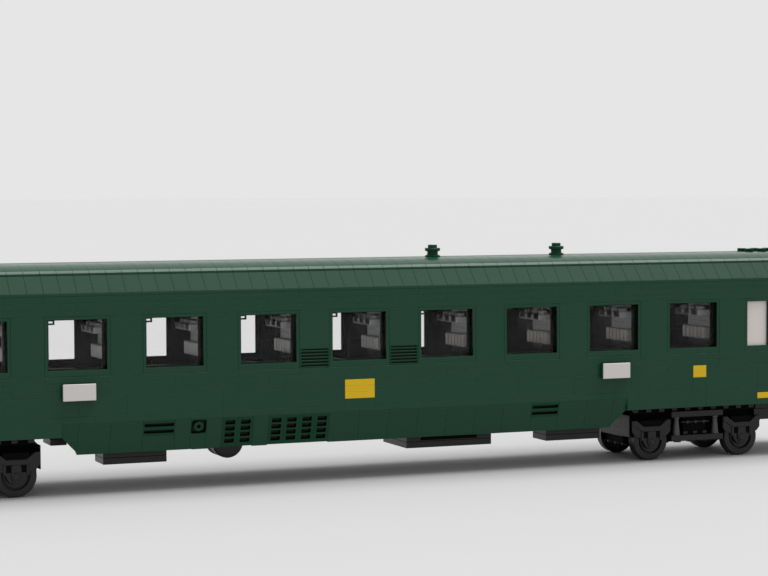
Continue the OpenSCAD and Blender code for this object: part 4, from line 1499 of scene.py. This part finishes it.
@dataclass
class Doors:
    """The doorway frames and the four hinged leaves."""

    finishes: Finishes
    middle: float = 264.0
    half: float = 16.0
    low: float = 32.0
    high: float = 86.4
    face: float = 32.0
    frame_deep: float = 6.0
    frame_t: float = 2.0
    hinge: tuple[float, float] = (251.5, -30.5)
    round_r: float = 1.2
    leaf_end: float = 277.7
    leaf_z: tuple[float, float] = (34.3, 84.1)
    pane_x: tuple[float, float] = (257.0, 273.0)
    pane_z: tuple[float, float] = (58.1, 78.1)

    def leaf(self) -> Surface:
        """The near right-hand leaf.

        Returns:
            Rails and stiles round the pane, two sunk panels below it, the hinge's round
            edge in knuckles, a step plate and a pull handle.
        """
        hx, hy = self.hinge
        y0, y1 = hy - self.round_r, hy + self.round_r
        (z0, z1), (p0, p1), (w0, w1) = self.leaf_z, self.pane_x, self.pane_z
        end = self.leaf_end
        ring = mitred((hx, end, w0 - 5.0, z1), (p0, p1, w0, w1),
                      frame_profile(y0, y1, 0.15, 0.06), Axis.Y)
        lower = bricks([(hx, end, y0 + 0.45, y1, z0, w0 - 5.0)], 0.12)
        rails = mitred((hx, end, z0, w0 - 5.0), (hx + 3.0, end - 3.0, z0 + 3.2, w0 - 7.0),
                       frame_profile(y0, y0 + 0.6, 0.12, 0.08), Axis.Y)
        knuckles = joined([turned([(0, a), (self.round_r - 0.15, a), (self.round_r, a + 0.15),
                                   (self.round_r, b - 0.15), (self.round_r - 0.15, b), (0, b)], 24)
                           for a, b in stretches(np.linspace(z0, z1, 6))]).moved(hx, hy)
        pins = joined([turned([(0, a), (0.8, a), (0.8, b), (0, b)], 20)
                       for a, b in ((z0 - 1.4, z0 + 0.2), (z1 - 0.2, z1 + 1.4))]).moved(hx, hy)
        pull = turned([(0, 0), (0.45, 0.1), (0.5, 0.4), (0.5, 7.6), (0.45, 7.9), (0, 8)],
                      14).moved(end - 2.0, y0 - 0.55, 52.0)
        feet = bricks([(end - 2.4, end - 1.6, y0 - 0.6, y0 + 0.2, z, z + 0.9)
                       for z in (52.4, 58.7)], 0.1)
        bead = mitred((p0 - 0.1, p1 + 0.1, w0 - 0.1, w1 + 0.1),
                      (p0 + 0.5, p1 - 0.5, w0 + 0.5, w1 - 0.5),
                      frame_profile(y0 + 0.05, y0 + 0.6, 0.1, 0.2), Axis.Y)
        return joined([ring, lower, rails, knuckles, pins, pull, feet, bead])

    def build(self) -> None:
        """Builds the frames and the leaves, and dresses the panes."""
        m, h, t = self.middle, self.half, self.frame_t
        ring = mitred((m - h + 0.04, m + h - 0.04, self.low + 0.04, self.high - 0.04),
                      (m - h + t, m + h - t, self.low + t, self.high - t),
                      frame_profile(-self.face, -self.face + self.frame_deep), Axis.Y)
        piece("doorway_frames", both(both(ring, Axis.Y), Axis.X), Finishes.GREEN, self.finishes,
              replaces=("door_frames",))
        near = self.leaf()
        leaves = {"near_right": near, "near_left": near.mirrored(Axis.X),
                  "far_right": near.mirrored(Axis.Y),
                  "far_left": near.mirrored(Axis.X).mirrored(Axis.Y)}
        for place, leaf in leaves.items():
            piece(f"door_{place}_leaf", leaf, Finishes.GREEN, self.finishes,
                  body=f"door_{place}", replaces=(f"door_{place}",))
            dress(f"door_{place}_pane", Finishes.CLEAR, self.finishes)


@dataclass
class Underframe:
    """The equipment boxes, the air tank, the hanger and the bracket under the floor."""

    finishes: Finishes
    low: float = 12.8
    top: float = 28.8
    tank_r: float = 8.0
    tank_x: float = -64.0
    cases: tuple[tuple[float, float], ...] = ((-128.0, -96.0), (32.0, 80.0), (112.0, 144.0))
    case_half: float = 16.0
    hanger: tuple[float, float] = (-152.0, -144.0)
    bracket: tuple[float, float] = (-82.0, -74.0)
    recess_shade: tuple[float, float] = (40.0, 71.5)
    brick_z: tuple[float, float] = (16.0, 25.6)

    def build(self) -> None:
        """Builds the boxes from plates and bricks, and turns the tank."""
        rows = []
        for (x0, x1), y1 in zip(self.cases, (0.0, self.case_half, 0.0)):
            y0 = -self.case_half
            rows += [(x0, x1, y0, y1, self.low, self.low + PLATE),
                     (x0, x1, y0, y1, *self.brick_z)]
            marks = np.arange(x0, x1 + 1, 2 * STUD)
            rows += [(a, b, y0, y1, self.brick_z[1], self.top) for a, b in stretches(marks)]
        rows += [(*self.hanger, -STUD, STUD, *z) for z in layers(22.4, 2)]
        rows += [(*self.bracket, -12, -4, z0, z1) for z0, z1 in ((17.6, 20.8), (20.8, self.top))]
        boxes = joined([bricks(rows, 0.16, 0.3, 23), self.louvres()])
        # Painted shade: a thin sheet in the darker black over part of the middle box's near face
        # stands in for its shaded recess.
        recess_shade = both(bricks([(*self.recess_shade, -16.6, -15.9, 16.6, 25.0)], 0.05), Axis.Y)
        piece("equipment_painted_shade", recess_shade, Finishes.SHADED_BLACK, self.finishes)
        piece("equipment_cases", boxes, Finishes.UNDER, self.finishes,
              replaces=("equipment_boxes",))
        r = self.tank_r
        tank = turned([(0, 0), (r - 2.2, 0), (r - 0.6, 0.5), (r, 1.4), (r, 4.2), (r - 0.3, 4.4),
                       (r - 0.3, 11.6), (r, 11.8), (r, 14.6), (r - 0.6, 15.5), (r - 2.2, 16),
                       (0, 16)], 40).turned_to(Axis.Y, -1.0)
        piece("air_tank_drum", tank.moved(self.tank_x, 0.0, self.low + r), Finishes.UNDER,
              self.finishes, replaces=("air_tank",))

    def louvres(self) -> Surface:
        """Thin bars over the boxes' near faces, which make their dark strips."""
        rows = [(x0 + 2, x1 - 2, -16.35, -15.8, z, z + 1.1)
                for x0, x1 in self.cases for z in (17.6, 20.0, 22.4)]
        return bricks(rows, 0.12)


@dataclass
class Bogie:
    """One bogie: frame, axle box covers, dampers, springs, buffers and magnet."""

    finishes: Finishes
    name: str
    sense: float
    pivot: float = 200.0
    axle: float = 28.0
    wheel_z: float = 10.4
    face: float = 23.0
    inner: float = 21.5
    plate_half: float = 17.5
    top: float = 27.6
    under: float = 24.4
    half: float = 40.0
    cover_half: float = 12.0
    beam: tuple[float, float] = (80.0, 87.4)
    beam_low: float = 18.4
    arm_half: float = 16.0
    carrier_half: float = 12.0
    mid_half: float = 16.0
    spring_bar: float = 19.2

    def stud_places(self) -> np.ndarray:
        """Where the top plate's ten studs stand along X, about the pivot."""
        return STUD * (np.arange(10) - 4.5)

    def placed(self, part: Surface) -> Surface:
        """A part made for the right-hand bogie about its pivot, at this bogie."""
        part = part.moved(self.pivot)
        return part if self.sense > 0 else part.mirrored(Axis.X)

    def cover(self) -> Surface:
        """One near-side axle box cover about its axle.

        Returns:
            A shield with a notch in its top, a raised gull-wing strap and column, and a round foot.
        """
        z = self.wheel_z
        a = np.linspace(math.radians(200), math.radians(340), 15)
        foot = [(5.0 * math.cos(t), z + 0.9 + 5.0 * math.sin(t)) for t in a]
        shield = [(-11.6, z + 5.1), (-9.8, z + 3.0), (-5.6, z + 1.4), *foot, (5.6, z + 1.4),
                  (9.8, z + 3.0), (11.6, z + 5.1), (11.6, z + 11.5), (9.0, z + 11.5),
                  (4.8, z + 8.2), (-4.8, z + 8.2), (-9.0, z + 11.5), (-11.6, z + 11.5)]
        base = prism(shield, -self.face + 0.7, -self.inner, Axis.Y, 0.12)
        gull = [(-11.5, z + 11.3), (-9.2, z + 11.3), (-4.9, z + 8.0), (4.9, z + 8.0),
                (9.2, z + 11.3), (11.5, z + 11.3), (11.5, z + 8.6), (9.6, z + 8.0),
                (5.6, z + 5.4), (-5.6, z + 5.4), (-9.6, z + 8.0), (-11.5, z + 8.6)]
        strap = prism(gull, -self.face, -self.face + 0.8, Axis.Y, 0.16)
        column = prism([(-2.3, z + 5.6), (2.3, z + 5.6), (2.7, z - 0.5), (1.4, z - 3.2),
                        (-1.4, z - 3.2), (-2.7, z - 0.5)],
                       -self.face - 0.2, -self.face + 0.8, Axis.Y, 0.25)
        cap = turned([(0, 0), (1.9, 0), (1.9, 0.35), (1.6, 0.6), (0, 0.6)], 24)
        cap = cap.turned_to(Axis.Y, -1.0).moved(0, -self.face - 0.1, z)
        bars = bricks([(a, b, -self.face + 0.1, -self.face + 0.8, z + 0.4, z + 5.6)
                       for a, b in ((-6.4, -4.9), (4.9, 6.4))], 0.2)
        return joined([base, strap, column, cap, bars])

    def pits(self) -> Surface:
        """Thin near-black sheets of painted shade: the two pits beside one cover's column and one
        in its top notch, about its axle.
        """
        z = self.wheel_z
        return bricks([(a, b, -self.face + 0.6, -self.face + 0.9, z + 1.8, z + 5.5)
                       for a, b in ((-4.9, -2.5), (2.5, 4.9))]
                      + [(-6.5, 6.5, -self.inner - 0.7, -self.inner + 0.1, z + 7.6, z + 11.3)],
                      0.05)

    def side(self) -> Surface:
        """The near side: two covers, the beams between them and the spring gear."""
        cover = self.cover()
        gap = self.axle - self.cover_half
        y0, y1 = -self.face, -self.inner
        pad, bar = self.wheel_z + 2.6, self.spring_bar
        beams = bricks([(-gap, gap, y0, y1, self.top - 5.0, self.top - 1.8),
                        (-gap, gap, y0, y1 + 2, self.wheel_z - 0.7, self.wheel_z + 2.5),
                        *[(x - 1.3, x + 1.3, y1 + 1.0, y1 + 2.2, pad, pad + 1.6)
                          for x in (-6.0, 0.0, 6.0)]], 0.18)
        bars = bricks([(-8.5, 8.5, y1 + 0.9, y1 + 1.7, bar, bar + 0.8)], 0.12)
        knob = stud(1.1, 0.9, 18).turned_to(Axis.Y, -1.0)
        knobs = repeated(knob, np.array([(x, y1 + 1.2, bar + 0.4) for x in (-5.0, 0.0, 5.0)]))
        return joined([cover.moved(-self.axle), cover.moved(self.axle), beams, bars, knobs])

    def deep(self) -> Surface:
        """What lies in the dark, in a darker, duller black that paints its shade: the top plate,
        the spring blocks and the covers' pits.
        """
        top = prism([(-self.half, self.under), (self.half, self.under), (self.half, self.top),
                     (-self.half + 3.2, self.top)], -self.plate_half, self.plate_half, Axis.Y,
                    0.15)
        y1 = -self.inner
        pits = self.pits()
        block = bricks([(-7, 7, y1 + 2, y1 + 4, self.wheel_z + 2.4, self.under),
                        (-self.half, self.half, -self.carrier_half - 0.4, -self.carrier_half,
                         self.wheel_z - 2.2, self.under),
                        *[(*span(s, (self.mid_half, self.half - 2)), -self.carrier_half, 0.1,
                           self.wheel_z - 2.2, self.wheel_z + 2.0) for s in (-1, 1)]], 0.15)
        near = joined([pits.moved(-self.axle), pits.moved(self.axle), block])
        return joined([top, both(near, Axis.Y)])

    def frame(self) -> Surface:
        """The carrier, the lit end blocks, the studs under the plate and the coupling arm."""
        c, z, h, m = self.carrier_half, self.wheel_z, self.half, self.mid_half
        rows = [(-h, -m, -c, c, z + 2.0, self.under + 0.1),
                (m, h, -c, c, z + 2.0, self.under + 0.1),
                (-m, m, -c, c, z + 2.0, self.under + 0.1),
                (-h - 0.4, -h + 0.1, -20, -10, z + 2.4, self.under + 0.1),
                (-h - 0.4, -h + 0.1, -10, 0, z + 7.0, self.under + 0.1),
                (h - 0.1, h + 0.4, 10, 20, z + 2.4, self.under + 0.1),
                (h - 0.1, h + 0.4, 0, 10, z + 7.0, self.under + 0.1),
                (-m, m, -c, c, z - 2.2, z + 2.0),
                (h - 0.1, self.beam[0], -self.arm_half, self.arm_half, self.under, self.top),
                (h - 0.1, self.beam[0], -self.arm_half, self.arm_half, self.beam_low,
                 self.under)]
        grid = np.array([(x, y, z) for x in self.stud_places() for y in (-STUD, 0.0, STUD)])
        under = turned([(0, 0), (2.0, 0), (2.2, 0.2), (2.2, 1.0), (0, 1.0)], 14)
        under = under.moved(0, 0, -3.1)
        teeth = [(x - 1.6, x + 1.6, -self.plate_half - 2.0, -self.plate_half + 0.1,
                  self.under + 1.2, self.top - 0.2) for x in self.stud_places()]
        return joined([bricks(rows, 0.16, 0.25, 29), both(bricks(teeth, 0.2), Axis.Y),
                       repeated(under, grid)])

    def dampers(self) -> Surface:
        """The near side's two tapered dampers, with collars at both ends."""
        z0, z1 = self.wheel_z + 2.5, self.top - 5.0
        one = turned([(0, 0), (2.1, 0), (2.1, 0.5), (1.9, 0.9), (1.25, z1 - z0 - 1.6),
                      (1.25, z1 - z0 - 1.2), (1.6, z1 - z0 - 0.9), (1.6, z1 - z0 - 0.1),
                      (0, z1 - z0)], 24)
        return repeated(one, np.array([(x, -self.face + 2.1, z0) for x in (-12.0, 12.0)]))

    def buffers(self) -> Surface:
        """The buffer beam, its two buffers and the coupling's rim."""
        x0, x1 = self.beam
        beam = bricks([(x0, x0 + 3.2, -24, 24, self.beam_low, self.top),
                       (x0 + 3.2, x1, -24, -8, self.beam_low, self.top),
                       (x0 + 3.2, x1, 8, 24, self.beam_low, self.top),
                       (x0 + 3.2, x1, -8, 8, self.beam_low, self.top)], 0.18)
        head = turned([(0, 0), (2.9, 0), (2.9, 0.6), (2.2, 1.1), (2.2, 5.6), (3.9, 5.6),
                       (4.2, 5.9), (4.2, 7.4), (3.7, 7.8), (2.4, 8.0), (0, 8.0)], 32)
        head = head.turned_to(Axis.X).moved(x1 - 0.05, 20.0, self.beam_low + 4.6)
        return joined([beam, head, head.mirrored(Axis.Y)])

    def magnet(self) -> Surface:
        """The coupling magnet: a turned drum with a groove and a softly edged face."""
        drum = turned([(0, 0), (3.6, 0), (3.6, 1.2), (4.0, 1.4), (4.0, 4.6), (3.6, 5.0), (2.0, 5.0),
                       (1.8, 4.85), (0, 4.85)], 36)
        return drum.turned_to(Axis.X).moved(self.beam[1], 0.0, self.beam_low + 4.6)

    def build(self) -> None:
        """Builds the bogie's pieces on its body."""
        body = f"bogie_{self.name}"
        # The deep plates wear a darker, duller black: painted shade.
        for suffix, part, finish, node in (
                ("frame_plates", self.frame(), Finishes.BOGIE, "frame"),
                ("painted_shade_plates", self.deep(), Finishes.SHADED_BLACK, "frame"),
                ("side_covers", both(self.side(), Axis.Y), Finishes.BOGIE, "sides"),
                ("damper_cones", both(self.dampers(), Axis.Y), Finishes.SILVER, "dampers"),
                ("buffer_beam", self.buffers(), Finishes.BOGIE, "buffers"),
                ("coupling_magnet", self.magnet(), Finishes.STEEL, "magnet")):
            piece(f"{body}_{suffix}", self.placed(part), finish, self.finishes, body=body,
                  replaces=(f"{body}_{node}",))


@dataclass
class Wheelset:
    """Two dished wheels on one axle."""

    finishes: Finishes
    name: str
    x: float
    wheel_z: float = 10.4
    rim: float = 10.4
    tread: float = 10.15
    face: float = 21.2
    width: float = 5.6
    axle_r: float = 1.5

    def build(self) -> None:
        """Builds the wheelset on its body."""
        r, t, w = self.rim, self.tread, self.width
        wheel = turned([(0, 0), (3.6, 0), (4.0, 0.3), (t - 2.0, 0.9), (r - 0.4, 0.0),
                        (r, 0.3), (r, 0.9), (t + 0.15, 1.3), (t, 1.8), (t, w - 0.35),
                        (t - 0.35, w), (t - 3.0, w), (t - 3.25, w - 0.2), (t - 3.4, w - 1.8),
                        (t - 4.1, w - 1.8), (t - 4.2, w - 0.7), (t - 4.5, w - 0.5),
                        (3.2, w - 0.8), (2.9, w - 0.3), (1.0, w - 0.3),
                        (0.8, w - 0.9), (0, w - 0.9)], 56)
        wheel = wheel.turned_to(Axis.Y, -1.0).moved(0, -self.face + w, 0)
        axle = turned([(0, -self.face + 3), (self.axle_r, -self.face + 3),
                       (self.axle_r, self.face - 3), (0, self.face - 3)], 24).turned_to(Axis.Y)
        part = joined([wheel, wheel.mirrored(Axis.Y), axle]).moved(self.x, 0, self.wheel_z)
        piece(f"{self.name}_wheels", part, Finishes.BOGIE, self.finishes, body=self.name,
              replaces=(self.name,))


# ---------------------------------------------------------------- the studio


@dataclass
class Studio:
    """The pale floor, the soft light and the camera."""

    eye: tuple[float, float, float] = (-386.14, -1010.41, 146.48)
    yaw: float = math.radians(22.2025)
    pitch: float = math.radians(-2.7034)
    roll: float = math.radians(-0.20997)
    lens: float = 98.70
    backdrop: float = 0.79
    sun_power: float = 3.4
    sun_spread: float = 46.0
    sun_aim: tuple[float, float, float] = (-0.3, 0.02, -1.0)
    floor_r: float = 30.0
    floor_sides: int = 96
    floor_pale: tuple[float, float, float] = (0.42, 0.42, 0.42)
    floor_dull: tuple[float, float, float] = (0.412, 0.412, 0.412)

    def camera(self) -> None:
        """Makes the camera: forward from yaw and pitch, then turned by the roll."""
        cy, sy, cp, sp = (math.cos(self.yaw), math.sin(self.yaw), math.cos(self.pitch),
                          math.sin(self.pitch))
        ahead = Vector((sy * cp, cy * cp, sp))
        right = Vector((cy, -sy, 0.0))
        up = right.cross(ahead)
        c, s = math.cos(self.roll), math.sin(self.roll)
        right, up = right * c + up * s, up * c - right * s
        data = bpy.data.cameras.new("camera")
        data.lens, data.sensor_width = self.lens, 36.0
        data.clip_start, data.clip_end = 0.05, 100.0
        cam = bpy.data.objects.new("camera", data)
        turn = Matrix((right, up, -ahead)).transposed().to_4x4()
        cam.matrix_world = Matrix.Translation(Vector(self.eye) * MM) @ turn
        bpy.context.scene.collection.objects.link(cam)
        bpy.context.scene.camera = cam

    def sun(self, name: str, strength: float, spread: float, aim: tuple) -> None:
        """Adds one wide, even light from far off, like a large soft box.

        Args:
            name: The light's name.
            strength: Its strength in watts per square metre.
            spread: The angle that it fills, in degrees.
            aim: The direction that it shines in.
        """
        data = bpy.data.lights.new(name, "SUN")
        data.energy, data.angle = strength, math.radians(spread)
        obj = bpy.data.objects.new(name, data)
        obj.rotation_euler = Vector(aim).to_track_quat("-Z", "Y").to_euler()
        bpy.context.scene.collection.objects.link(obj)

    def floor(self) -> None:
        """Lays the floor: a wide disc with a faint mottle."""
        n = self.floor_sides
        a = np.linspace(0, 2 * math.pi, n, endpoint=False)
        ring = np.column_stack([np.cos(a), np.sin(a), np.zeros(n)]) * self.floor_r
        mesh = bpy.data.meshes.new("floor")
        mesh.from_pydata(ring.tolist(), [], [list(range(n))])
        g = Graph("pale_floor")
        cloud = g.noise(3.0, 2.0)
        mesh.materials.append(g.finish(
            Base_Color=g.blend(cloud, self.floor_pale, self.floor_dull),
            Roughness=0.9, Specular_IOR_Level=0.1))
        obj = bpy.data.objects.new("floor", mesh)
        bpy.context.scene.collection.objects.link(obj)

    def build(self) -> None:
        """Builds the whole studio."""
        world = bpy.data.worlds.new("studio")
        world.use_nodes = True
        shade = world.node_tree.nodes["Background"]
        shade.inputs["Color"].default_value = (1, 1, 1, 1)
        shade.inputs["Strength"].default_value = self.backdrop
        bpy.context.scene.world = world
        bpy.context.scene.view_settings.view_transform = "Standard"
        self.camera()
        self.floor()
        self.sun("overhead", self.sun_power, self.sun_spread, self.sun_aim)


def main() -> None:
    """Builds the coach's pieces in order, and the studio round them."""
    logging.basicConfig(level=logging.INFO, format="%(name)s: %(message)s")
    finishes = Finishes()
    for part in (SideWalls, EndWalls, Windows, PillarGrilles, Roof, Skirt, Boards, Interior,
                 Doors, Underframe):
        part(finishes).build()
    for name, sense in (("left", -1.0), ("right", 1.0)):
        bogie = Bogie(finishes, name, sense)
        bogie.build()
        for place, way in (("inner", -1.0), ("outer", 1.0)):
            Wheelset(finishes, f"wheelset_{name}_{place}",
                     sense * (bogie.pivot + way * bogie.axle)).build()
    Studio().build()


if __name__ == "__main__":
    main()
